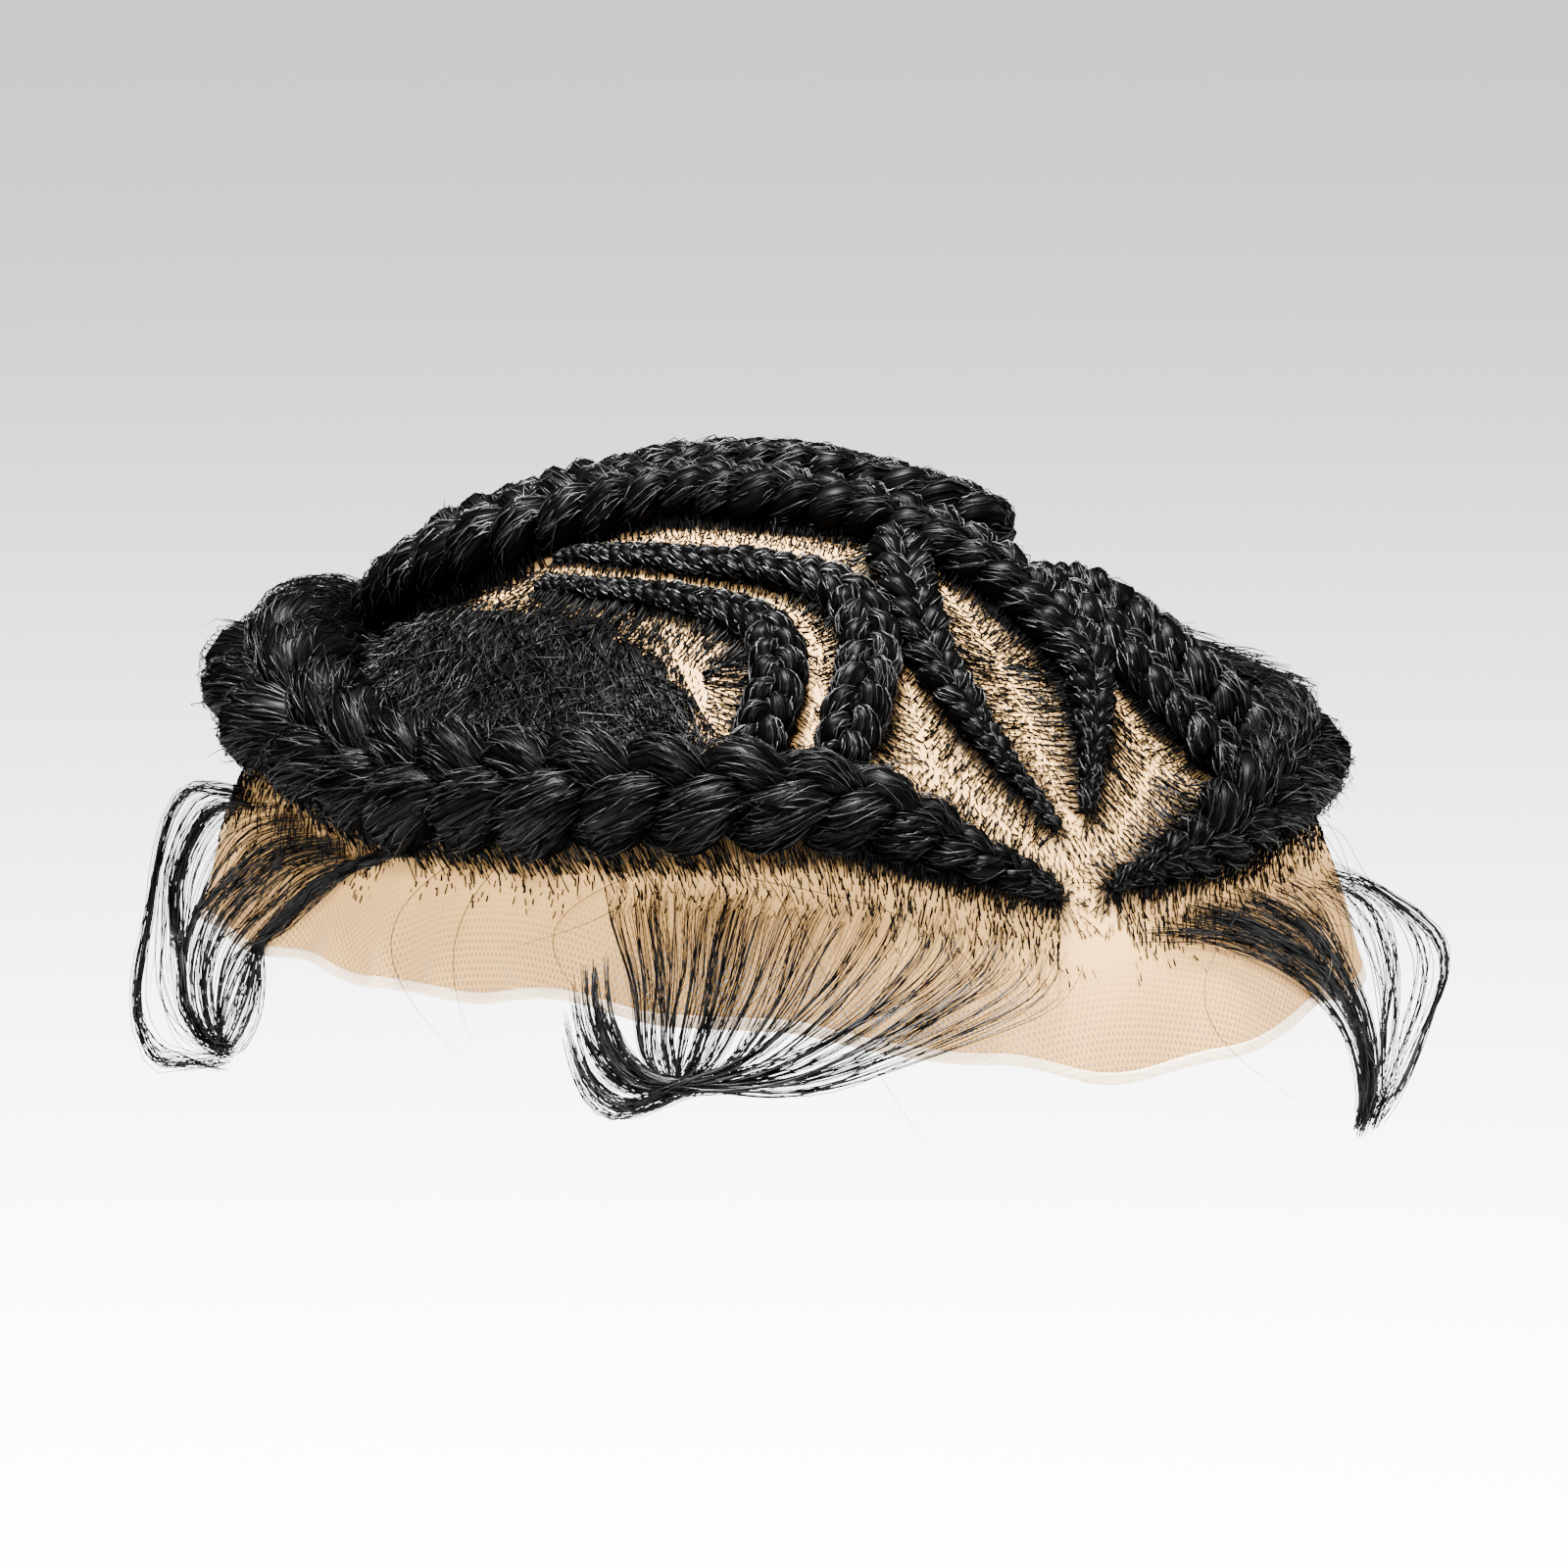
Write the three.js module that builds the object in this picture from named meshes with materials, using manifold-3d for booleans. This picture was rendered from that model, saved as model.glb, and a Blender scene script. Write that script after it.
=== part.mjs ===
// Cornrow hairpiece: a lace cap, braids laid flat on it, and loose locks round its hairline.
// Millimetres, +Z up, -Y towards the forehead, +X towards the wearer's left.
// The origin is the underside of the lace at the crown, where a head carries the piece.
import * as THREE from 'three';
import Module from 'manifold-3d';

const wasm = await Module();
wasm.setup();

// Head form that the cap is shaped on
const HEAD_HALF_WIDTH = 77;
const HEAD_HALF_LENGTH = 97;
const HEAD_RISE = 99;
const HEAD_SQUARENESS = 2.25;
const CROWN_BACK = 8;
const TAPE_RADIUS = 92;

// Walls, seats and hair
const LACE_THICKNESS = 1;
const SEAT_GAP = 0.3;
const CUT_GAP = 0.35;
const PANEL_EDGE = 0.7;
const PANEL_SEAT = 0.5;
const LOCK_THICKNESS = 1.3;

// Fineness of the meshes
const LACE_SECTORS = 42;
const LACE_CAP_SHARES = [0.27, 0.5, 0.64, 0.73, 0.82, 0.91, 1];
const LACE_MARGIN_RINGS = 3;
const LINE_SAMPLES = 420;
const PANEL_SECTIONS = 12;
const LOCK_STEP = 7;

// A place on the cap is [left, back]: tape distances from the crown, in mm, left towards
// the wearer's left and back towards the nape. Angles go round from the forehead, left positive.

// Lace: reach of the hairline and of the cut edge from the crown, and how far the net
// stands off the head at the hairline (bulge) and at the edge (flare)
const LACE_COLUMNS = ['angle', 'hairline', 'edge', 'bulge', 'flare'];
const LACE_TABLE = [
  [-180, 92, 106, 5, 4],
  [-150, 92, 110, 7, 6],
  [-121, 93, 115, 9, 8],
  [-90, 94, 117, 4, 4],
  [-58, 92, 116, 2, 1],
  [-31, 91, 117, 1, 0],
  [-12, 99, 123, 0, 0],
  [0, 102, 125, 0, 0],
  [12, 100, 124, 0, 0],
  [31, 95, 121, 3, 2],
  [58, 94, 120, 9, 8],
  [90, 94, 117, 6, 5],
  [121, 93, 115, 8, 7],
  [150, 92, 110, 7, 6],
  [180, 92, 106, 5, 4],
];
const BULGE_RUN = 34;
const BULGE_PAST_HAIRLINE = 5;

// Standing folds in the lace margin: where, how wide round the head and how high
const LACE_FOLDS = [
  { angle: -80, halfWidth: 3, height: 2.5 },
  { angle: 74, halfWidth: 3, height: 2 },
];

// Section of a braid, as shares of its width and height. Its lobes swell the marked points
// in turn, and lag is the share of a plait by which a lobe reaches that point later.
const BRAID_SECTION = [
  { across: -0.34, up: 0, swell: 0, lag: 0 },
  { across: 0.34, up: 0, swell: 0, lag: 0 },
  { across: 0.44, up: 0.42, swell: 0.15, lag: 0 },
  { across: 0.26, up: 0.88, swell: 0.13, lag: 0.2 },
  { across: 0, up: 0.9, swell: 0, lag: 0 },
  { across: -0.26, up: 0.88, swell: 0.13, lag: 0.2 },
  { across: -0.44, up: 0.42, swell: 0.15, lag: 0 },
];
const PITCH_PER_WIDTH = 0.66;
const PITCH_LEAST = 8.3;

// Braids: rows of [left, back, width] along the middle line, from the thin start on.
// rise is height over width, stations is sections for each plait.
const BRAIDS = {
  right_side_braid: {
    stations: 4,
    rise: 0.9,
    rows: [
      [-3.3, -99.7, 2.4], [-11.5, -95.9, 5.3], [-18.6, -91.7, 7.1], [-25.9, -85.7, 10],
      [-33, -80.8, 12.4], [-42.9, -75.7, 14.1], [-54.9, -67.5, 15.3], [-66.8, -56.7, 15.9],
      [-78.4, -40.7, 16.5], [-87, -17.7, 17.1], [-86, 9.5, 18.4], [-74, 34.5, 20.5],
      [-58, 52.5, 21], [-41, 67.5, 19.5], [-21, 79, 16], [-4, 83, 12],
    ],
  },
  left_side_braid: {
    stations: 4,
    rise: 0.76,
    rows: [
      [6.6, -99, 2.4], [16.9, -95.6, 4.7], [29.2, -91, 8.2], [38.2, -84.9, 11.8],
      [52, -73.8, 14.2], [67, -60, 14.8], [78.5, -42.5, 16], [86.5, -18, 17], [86, 9.5, 18.2],
      [75, 35, 19.5], [59, 53, 20], [41.5, 68, 18.5], [21, 79, 16], [4, 83, 12],
    ],
  },
  left_centre_braid: {
    stations: 3,
    rise: 0.84,
    rows: [
      [6.7, -87.8, 2.2], [10.5, -81, 3.4], [13.8, -74.9, 4.8], [16.1, -69.6, 6.2],
      [17.9, -63, 7.6], [17, -56, 8.8], [14.5, -49, 9.6], [11, -42, 10], [7, -36, 10],
      [-1, -26, 10], [-8, -19, 10], [-16, -10.7, 10], [-27, 1.7, 11], [-34.5, 12, 12.4],
      [-38.5, 27, 13.6], [-37.5, 44, 13.4], [-34.5, 58, 12], [-31, 71, 9.5],
    ],
  },
  right_centre_braid: {
    stations: 3,
    rise: 0.82,
    rows: [
      [0.5, -90, 2.2], [-2.9, -83.1, 3.2], [-5.7, -76, 4.4], [-7.5, -68.2, 6],
      [-7.9, -59.9, 7.4], [-6, -52.1, 8.2], [-3, -44, 8.6], [2, -35, 8.6],
    ],
  },
  right_upper_bend_braid: {
    stations: 3,
    rise: 0.82,
    rows: [
      [-40.5, 5, 2.6], [-36.5, -12, 3.8], [-27.6, -27.6, 5], [-19.4, -36.4, 6],
      [-14.2, -43.8, 7], [-13.8, -51.2, 8], [-17.8, -59.4, 8.4], [-23.7, -66.3, 8.4],
      [-32, -74, 8],
    ],
  },
  right_lower_bend_braid: {
    stations: 3,
    rise: 0.82,
    rows: [
      [-47.8, 1, 2.6], [-45, -14.6, 3.4], [-36.8, -30.6, 4.4], [-30.2, -41, 5.6],
      [-28, -48.5, 6.8], [-30.5, -55.3, 7.6], [-35.1, -60.5, 7.6], [-44, -68, 7.4],
    ],
  },
  left_upper_bend_braid: {
    stations: 3,
    rise: 0.82,
    rows: [
      [28, -37, 4.6], [26.5, -43, 6.8], [26.6, -50.5, 8], [29.6, -59, 8.4], [34.4, -67.5, 8.6],
      [41.5, -78, 8.4],
    ],
  },
  left_lower_bend_braid: {
    stations: 3,
    rise: 1,
    rows: [
      [39, -31, 5], [39.6, -41, 8], [43, -51.5, 9.6], [49.5, -60.5, 10], [59, -69, 9.6],
    ],
  },
  crown_braid_1: {
    stations: 3,
    rise: 1,
    rows: [
      [25, -31.5, 9.6], [18, -26.5, 9.8], [9, -18.5, 9], [1, -11, 9.4], [-8, -2, 9.2], [-20, 13, 9],
      [-25.5, 28, 9.4], [-25, 44, 9.4], [-22.5, 60, 9], [-20, 72, 8],
    ],
  },
  crown_braid_2: {
    stations: 3,
    rise: 0.8,
    rows: [
      [38, -21, 5], [29, -16, 8.4], [17, -9, 9.8], [9, -1, 10], [1, 7, 10], [-8, 18, 10],
      [-13, 30, 10], [-13, 46, 9.4], [-11, 60, 8.6], [-9, 74, 7.6],
    ],
  },
  crown_braid_3: {
    stations: 3,
    rise: 0.8,
    rows: [
      [41, -6, 5], [31, -1.5, 8.4], [19, 7, 9.8], [10, 15, 10], [3, 24, 10], [-0.5, 35, 9.8],
      [-0.5, 48, 9.2], [1, 61, 8.4], [2, 75, 7.6],
    ],
  },
  crown_braid_4: {
    stations: 3,
    rise: 0.8,
    rows: [
      [42, 9, 5], [33, 13, 8.4], [23, 20, 9.6], [15.5, 29, 10], [12, 40, 9.6], [12, 52, 9],
      [13.5, 63, 8.4], [15, 75, 7.6],
    ],
  },
  crown_braid_5: {
    stations: 3,
    rise: 0.8,
    rows: [
      [42, 25, 5], [34, 29, 8.4], [27, 36, 9.4], [24.5, 46, 9.4], [25.5, 57, 9], [28, 72, 8],
    ],
  },
};

// Combed hair drawn flat from a parting into the side braid, and its depth there:
// rows of [left, back] on the parting, then [left, back] on the braid's side
const PANELS = {
  right_combed_panel: {
    depth: 5,
    rows: [
      [-45, 43, -55, 50], [-51, 22, -76, 26], [-51.5, -6, -80, -10], [-46.5, -24, -70, -34],
      [-42, -36, -58, -50], [-41.5, -47, -49, -58],
    ],
  },
  left_combed_panel: {
    depth: 9,
    rows: [
      [42, 43, 55, 50], [48.5, 22, 76, 26], [49, -4, 80, -8], [48.5, -22, 77, -30],
      [49, -37, 73, -45], [55, -51, 67, -57],
    ],
  },
};

// Loose locks: strands of [left, back, lift over the lace, width], fused where they gather
const LOCKS = {
  front_swoop_lock: [
    [[-75, -63.8, 1, 4], [-78.1, -74.5, 3, 5], [-79.8, -80.2, 3.5, 5], [-83.9, -89.3, 4, 5], [-80, -97, 4, 5]],
    [[-57.4, -78.6, 1, 4], [-62.2, -82.9, 3, 5], [-68.8, -89, 3.5, 5], [-80, -97, 4, 5]],
    [[-44.6, -87.1, 1, 4], [-51.5, -91.4, 3, 5], [-60.3, -96.7, 3.5, 5], [-71.6, -101, 4, 5], [-81, -97, 4, 5]],
    [[-1.4, -110.5, 1, 3], [-11.4, -115.1, 2.5, 4], [-34.1, -115.7, 3, 5], [-55.3, -112.5, 4, 5],
      [-68.6, -106.6, 4, 5], [-82, -96, 4, 5]],
    [[-78, -99, 4, 5], [-86.1, -94.4, 4, 5], [-92.5, -91, 4, 5], [-94.9, -84.9, 4, 4], [-93.1, -77.1, 4, 3],
      [-90.2, -72.5, 4, 2]],
    [[-79, -98, 4, 5], [-86.2, -91, 4, 4], [-88, -82.3, 4, 4], [-86.7, -76.2, 4, 3], [-82, -72.1, 4, 2]],
  ],
  right_temple_lock: [
    [[-85.2, 50.3, 1, 4], [-83, 62, 4, 4], [-87.5, 68, 5.5, 4], [-94, 70, 3.5, 4], [-103, 64, 3, 4]],
    [[-96.6, 14.5, 1, 5], [-96.6, 31.4, 1.6, 5], [-98.2, 47.3, 2, 5], [-98, 61, 2.5, 5], [-103, 65, 3, 5],
      [-112, 58, 2.4, 4], [-120, 46, 1.6, 4]],
    [[-83.5, 53.5, 1, 4], [-80, 62, 8, 4], [-84.9, 69.1, 9, 4], [-90.2, 73.6, 8, 4], [-98.9, 73.8, 8, 4],
      [-104, 76, 8, 4], [-110, 72, 5, 4], [-117.2, 61.6, 2.5, 4], [-121, 46, 1.6, 4]],
    [[-98.5, -8, 1, 3], [-103, 4, 1.6, 5], [-108.3, 19.3, 2, 5], [-112, 30, 2, 5], [-117, 37, 2, 4],
      [-121, 47, 1.6, 4]],
  ],
  left_temple_lock: [
    [[9.7, -106.1, 1, 3], [24.7, -105.3, 1.8, 5], [37.3, -105.4, 2.2, 6], [52, -105.7, 2.2, 6],
      [65.6, -105.2, 2, 6], [72.5, -109.8, 1.8, 6], [73, -117, 1.6, 5]],
    [[35.3, -96, 1.2, 4], [50.8, -95.9, 2, 6], [70, -93.7, 1.8, 6], [79.8, -97.2, 1.6, 6],
      [80.1, -105.5, 1.6, 6], [73, -117, 1.6, 5]],
    [[70.3, -80.4, 1, 4], [82, -77, 3.6, 5], [91.2, -79.4, 4.5, 5], [95.4, -85.6, 3, 5], [86, -104, 1.8, 5],
      [73, -117, 1.6, 5]],
    [[80, -70, 1, 4], [84.1, -75.4, 9, 4], [89.2, -78.8, 14, 4], [90, -83, 14, 4], [96, -86, 8, 4],
      [92, -97, 3.5, 4], [73, -117, 1.6, 5]],
  ],
};

const hairMaterial = () => new THREE.MeshStandardMaterial({ color: 0x17161a, roughness: 0.72, metalness: 0 });
const laceMaterial = () => new THREE.MeshStandardMaterial({ color: 0xd8b48c, roughness: 0.85, metalness: 0 });

// Smooth ease from 0 to 1
function ease(t) {
  const share = Math.min(Math.max(t, 0), 1);
  return share * share * (3 - 2 * share);
}

// Lace table row at any angle round the head, in degrees
function laceAt(angle) {
  const next = Math.max(LACE_TABLE.findIndex((row) => row[0] >= angle), 1);
  const low = LACE_TABLE[next - 1];
  const high = LACE_TABLE[next];
  const share = ease((angle - low[0]) / (high[0] - low[0]));
  return Object.fromEntries(LACE_COLUMNS.map((name, i) => [name, low[i] + (high[i] - low[i]) * share]));
}

const angleOf = (left, back) => THREE.MathUtils.radToDeg(Math.atan2(left, -back));

// How far the lace stands off the head form at a place
function laceLift(left, back) {
  const reach = Math.hypot(left, back);
  const { hairline, edge, bulge, flare } = laceAt(angleOf(left, back));
  const rim = hairline + BULGE_PAST_HAIRLINE;
  const swelling = bulge * ease((reach - rim + BULGE_RUN) / BULGE_RUN);
  return swelling + (flare - bulge) * ease((reach - rim) / (edge - rim));
}

// Height of the standing folds at an angle, growing from the hairline to the edge
function foldLift(angle, marginShare) {
  return LACE_FOLDS.reduce((sum, fold) => {
    const offset = (angle - fold.angle) / fold.halfWidth;
    return sum + fold.height * marginShare * Math.max(0, 1 - Math.abs(offset));
  }, 0);
}

// Point of the head form at a tape place
function headPoint(left, back) {
  const turn = Math.hypot(left, back) / TAPE_RADIUS;
  const angle = Math.atan2(left, -back);
  const side = Math.abs(Math.sin(angle) / HEAD_HALF_WIDTH) ** HEAD_SQUARENESS;
  const front = Math.abs(Math.cos(angle) / HEAD_HALF_LENGTH) ** HEAD_SQUARENESS;
  const radius = (side + front) ** (-1 / HEAD_SQUARENESS) * Math.sin(turn);
  const drop = 1 - Math.cos(turn);
  return new THREE.Vector3(
    radius * Math.sin(angle),
    -radius * Math.cos(angle) - CROWN_BACK * drop,
    -HEAD_RISE * drop,
  );
}

// Outward direction of the head form at a tape place
function headNormal(left, back) {
  const step = 0.05;
  const across = headPoint(left + step, back).sub(headPoint(left - step, back));
  const along = headPoint(left, back + step).sub(headPoint(left, back - step));
  return across.cross(along).normalize();
}

// Point over the lace's outer face: height 0 lies on it, and the underside is one thickness lower
function overLace(left, back, height = 0, extraLift = 0) {
  const lift = laceLift(left, back) + extraLift + LACE_THICKNESS + height;
  return headPoint(left, back).addScaledVector(headNormal(left, back), lift);
}

// Closed mesh through rings of equal length, with a point closing each end
function loft(rings, startPoint, endPoint) {
  const count = rings[0].length;
  const points = [startPoint, ...rings.flat(), endPoint];
  const last = points.length - 1;
  const at = (ring, i) => 1 + ring * count + (i % count);
  const triangles = [];
  for (let i = 0; i < count; i += 1) {
    triangles.push([0, at(0, i + 1), at(0, i)]);
    triangles.push([last, at(rings.length - 1, i), at(rings.length - 1, i + 1)]);
    for (let ring = 0; ring < rings.length - 1; ring += 1) {
      triangles.push([at(ring, i), at(ring, i + 1), at(ring + 1, i)]);
      triangles.push([at(ring, i + 1), at(ring + 1, i + 1), at(ring + 1, i)]);
    }
  }
  const volume = triangles.reduce((sum, [a, b, c]) => {
    const normal = new THREE.Vector3().crossVectors(points[b], points[c]);
    return sum + points[a].dot(normal);
  }, 0);
  const facing = volume > 0 ? triangles : triangles.map(([a, b, c]) => [a, c, b]);
  return new wasm.Manifold(new wasm.Mesh({
    numProp: 3,
    vertProperties: new Float32Array(points.flatMap((point) => point.toArray())),
    triVerts: new Uint32Array(facing.flat()),
  }));
}

// The largest body of a cut solid, so that no loose sliver stays
function largest(solid) {
  return solid.decompose().reduce((best, body) => (body.volume() > best.volume() ? body : best));
}

function toMesh(name, solid, material) {
  const { numProp, vertProperties, triVerts } = solid.getMesh();
  const geometry = new THREE.BufferGeometry();
  const positions = [];
  for (let i = 0; i < vertProperties.length; i += numProp) {
    positions.push(vertProperties[i], vertProperties[i + 1], vertProperties[i + 2]);
  }
  geometry.setAttribute('position', new THREE.Float32BufferAttribute(positions, 3));
  geometry.setIndex(Array.from(triVerts));
  geometry.computeVertexNormals();
  const mesh = new THREE.Mesh(geometry, material);
  mesh.name = name;
  return mesh;
}

const middle = (ring) => ring.reduce((sum, point) => sum.add(point), new THREE.Vector3()).divideScalar(ring.length);

// Angles of the lace's sectors: even steps, and the foot and ridge of each fold
function laceAngles() {
  const step = 360 / LACE_SECTORS;
  const folds = LACE_FOLDS.flatMap(({ angle, halfWidth }) => [angle - halfWidth, angle, angle + halfWidth]);
  const even = Array.from({ length: LACE_SECTORS }, (_, i) => -180 + i * step);
  const clear = even.filter((angle) => folds.every((fold) => Math.abs(fold - angle) > step / 3));
  return [...clear, ...folds].sort((a, b) => a - b);
}

// Lace cap: one thin wall from the crown to the cut edge, open below
function laceBase() {
  const angles = laceAngles();
  const levels = LACE_CAP_SHARES.map((cap) => ({ cap, margin: 0 }));
  for (let i = 1; i <= LACE_MARGIN_RINGS; i += 1) levels.push({ cap: 1, margin: i / LACE_MARGIN_RINGS });
  const ringAt = ({ cap, margin }, height) => angles.map((angle) => {
    const { hairline, edge } = laceAt(angle);
    const reach = hairline * cap + (edge - hairline) * margin;
    const turn = THREE.MathUtils.degToRad(angle);
    return overLace(reach * Math.sin(turn), -reach * Math.cos(turn), height, foldLift(angle, margin));
  });
  const outer = levels.map((level) => ringAt(level, 0));
  const inner = levels.map((level) => ringAt(level, -LACE_THICKNESS)).reverse();
  return loft([...outer, ...inner], overLace(0, 0, 0), overLace(0, 0, -LACE_THICKNESS));
}

// Stations along a braid's middle line, a set number for each plait
function braidStations(rows, perPlait) {
  const line = new THREE.CatmullRomCurve3(rows.map((row) => new THREE.Vector3(...row)), false, 'centripetal');
  const samples = line.getPoints(LINE_SAMPLES);
  const stations = [];
  let travelled = 0;
  let due = 0;
  samples.forEach((here, i) => {
    const before = samples[Math.max(i - 1, 0)];
    const after = samples[Math.min(i + 1, LINE_SAMPLES)];
    travelled += overLace(here.x, here.y).distanceTo(overLace(before.x, before.y));
    if (travelled < due && i < LINE_SAMPLES) return;
    const heading = new THREE.Vector2(after.x - before.x, after.y - before.y).normalize();
    stations.push({ left: here.x, back: here.y, width: here.z, heading, plait: stations.length / perPlait });
    due = travelled + Math.max(PITCH_PER_WIDTH * here.z, PITCH_LEAST) / perPlait;
  });
  return stations;
}

// One braid as a lumpy tube with a flat seat; grow makes it larger all round, for cutting its neighbours
function braid({ rows, rise, stations: perPlait }, grow = 0) {
  const stations = braidStations(rows, perPlait);
  const rings = stations.map(({ left, back, width, heading, plait }) => {
    const side = new THREE.Vector2(heading.y, -heading.x);
    const probe = overLace(left + side.x, back + side.y).distanceTo(overLace(left - side.x, back - side.y));
    const tape = 2 / probe;
    const seatWidth = width * BRAID_SECTION[1].across * 2;
    const seat = SEAT_GAP + seatWidth ** 2 / (8 * TAPE_RADIUS);
    return BRAID_SECTION.map(({ across, up, swell, lag }) => {
      const turn = 2 * Math.PI * (plait - lag + (across < 0 ? 0.5 : 0));
      const lobe = 1 + swell * Math.cos(turn);
      const shift = (width * across * lobe + grow * Math.sign(across)) * tape;
      const height = up > 0 ? seat + width * rise * up * lobe + grow : seat - grow;
      return overLace(left + shift * side.x, back + shift * side.y, height);
    });
  });
  const capPoint = (ring, next) => {
    const end = middle(ring);
    const outward = end.clone().sub(middle(next)).normalize();
    return end.addScaledVector(outward, grow + SEAT_GAP);
  };
  const count = rings.length;
  return loft(rings, capPoint(rings[0], rings[1]), capPoint(rings[count - 1], rings[count - 2]));
}

// Combed hair as a thin wedge: an edge on the parting, deeper where it meets the braid
function panel({ rows, depth: fullDepth }) {
  const shares = [0, 0.35, 0.7, 1];
  const parting = new THREE.CatmullRomCurve3(rows.map(([l, b]) => new THREE.Vector3(l, b, 0)), false, 'centripetal');
  const foot = new THREE.CatmullRomCurve3(rows.map(([, , l, b]) => new THREE.Vector3(l, b, 0)), false, 'centripetal');
  const rings = [];
  for (let i = 0; i <= PANEL_SECTIONS; i += 1) {
    const start = parting.getPoint(i / PANEL_SECTIONS);
    const end = foot.getPoint(i / PANEL_SECTIONS);
    const place = (share, depth) => {
      const at = start.clone().lerp(end, share);
      return overLace(at.x, at.y, PANEL_SEAT + depth);
    };
    const swell = (share) => PANEL_EDGE + (fullDepth - PANEL_EDGE) * Math.sin((share * Math.PI) / 2);
    const top = shares.map((share) => place(share, swell(share)));
    const under = shares.map((share) => place(share, 0)).reverse();
    rings.push([...top, ...under]);
  }
  return loft(rings, middle(rings[0]), middle(rings[rings.length - 1]));
}

// One strand of a lock: a flat tapered strip standing off the lace
function lockStrand(rows) {
  const path = new THREE.CatmullRomCurve3(rows.map(([l, b, lift]) => overLace(l, b, lift)), false, 'centripetal');
  const widths = new THREE.CatmullRomCurve3(rows.map((row, i) => new THREE.Vector3(i, row[3], 0)));
  const steps = Math.ceil(path.getLength() / LOCK_STEP);
  const heart = new THREE.Vector3(0, 0, -HEAD_RISE / 2);
  const rings = [];
  for (let i = 0; i <= steps; i += 1) {
    const share = i / steps;
    const here = path.getPoint(share);
    const along = path.getTangent(share);
    const out = here.clone().sub(heart);
    out.addScaledVector(along, -out.dot(along)).normalize();
    const side = new THREE.Vector3().crossVectors(along, out);
    const halfWidth = widths.getPoint(share).y / 2;
    const halfDepth = LOCK_THICKNESS / 2;
    rings.push([
      here.clone().addScaledVector(side, halfWidth),
      here.clone().addScaledVector(out, halfDepth),
      here.clone().addScaledVector(side, -halfWidth),
      here.clone().addScaledVector(out, -halfDepth),
    ]);
  }
  const tip = (ring, along, way) => middle(ring).addScaledVector(along, way * LOCK_THICKNESS);
  return loft(rings, tip(rings[0], path.getTangent(0), -1), tip(rings[steps], path.getTangent(1), 1));
}

const lock = (strands) => strands.map(lockStrand).reduce((whole, strand) => whole.add(strand));

// A braid or panel cut back to a small gap from the braids that it runs into
function cutBack(solid, neighbours) {
  return largest(neighbours.reduce((rest, name) => rest.subtract(braid(BRAIDS[name], CUT_GAP)), solid));
}

// Which braids each hair piece runs into
const RUNS_INTO = {
  left_side_braid: ['right_side_braid'],
  left_centre_braid: ['right_side_braid'],
  right_centre_braid: ['left_centre_braid'],
  right_upper_bend_braid: ['right_side_braid'],
  right_lower_bend_braid: ['right_side_braid'],
  left_upper_bend_braid: ['left_side_braid', 'crown_braid_1', 'left_centre_braid'],
  left_lower_bend_braid: ['left_side_braid', 'left_upper_bend_braid'],
  crown_braid_1: ['right_side_braid', 'left_centre_braid'],
  crown_braid_2: ['right_side_braid', 'left_side_braid', 'crown_braid_1'],
  crown_braid_3: ['right_side_braid', 'left_side_braid', 'crown_braid_2'],
  crown_braid_4: ['left_side_braid', 'crown_braid_3'],
  crown_braid_5: ['left_side_braid', 'crown_braid_4'],
  right_combed_panel: ['right_side_braid', 'right_lower_bend_braid', 'left_centre_braid'],
  left_combed_panel: ['left_side_braid', 'left_lower_bend_braid', 'crown_braid_2'],
};

const hairpiece = new THREE.Group();
hairpiece.add(toMesh('lace_base', laceBase(), laceMaterial()));
for (const [name, table] of Object.entries(BRAIDS)) {
  hairpiece.add(toMesh(name, cutBack(braid(table), RUNS_INTO[name] ?? []), hairMaterial()));
}
for (const [name, table] of Object.entries(PANELS)) {
  hairpiece.add(toMesh(name, cutBack(panel(table), RUNS_INTO[name]), hairMaterial()));
}
for (const [name, strands] of Object.entries(LOCKS)) {
  hairpiece.add(toMesh(name, lock(strands), hairMaterial()));
}

export default hairpiece;
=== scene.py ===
# Looks of a cornrow hairpiece: a net cap, plaited rows, combed hair and loose locks.
# Sizes are millimetres until a mesh is made. A place is [left, back], tape distances from the crown.
import math

import bpy
import numpy as np
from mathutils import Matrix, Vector


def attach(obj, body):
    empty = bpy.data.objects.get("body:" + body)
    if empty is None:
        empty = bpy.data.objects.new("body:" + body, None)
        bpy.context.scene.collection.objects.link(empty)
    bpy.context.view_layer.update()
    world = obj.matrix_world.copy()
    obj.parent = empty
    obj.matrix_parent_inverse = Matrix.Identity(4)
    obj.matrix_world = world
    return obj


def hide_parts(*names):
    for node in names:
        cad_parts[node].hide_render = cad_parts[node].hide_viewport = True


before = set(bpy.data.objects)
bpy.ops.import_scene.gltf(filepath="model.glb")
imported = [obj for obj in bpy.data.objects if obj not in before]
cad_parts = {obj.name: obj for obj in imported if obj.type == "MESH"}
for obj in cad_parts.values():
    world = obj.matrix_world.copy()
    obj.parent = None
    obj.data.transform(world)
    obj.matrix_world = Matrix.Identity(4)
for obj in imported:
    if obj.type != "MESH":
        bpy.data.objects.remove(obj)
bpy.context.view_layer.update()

MM = 0.001
SEED = 41

# Random streams, one for each kind of hair
PLAIT_DRAWS = 1
COMB_DRAWS = 2
PANEL_DRAWS = 3
SWOOP_DRAWS = 4
TEMPLE_DRAWS = 5
STRAY_DRAWS = 7
KNOT_DRAWS = 8
FRINGE_DRAWS = 9
TIP_DRAWS = 10

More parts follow.
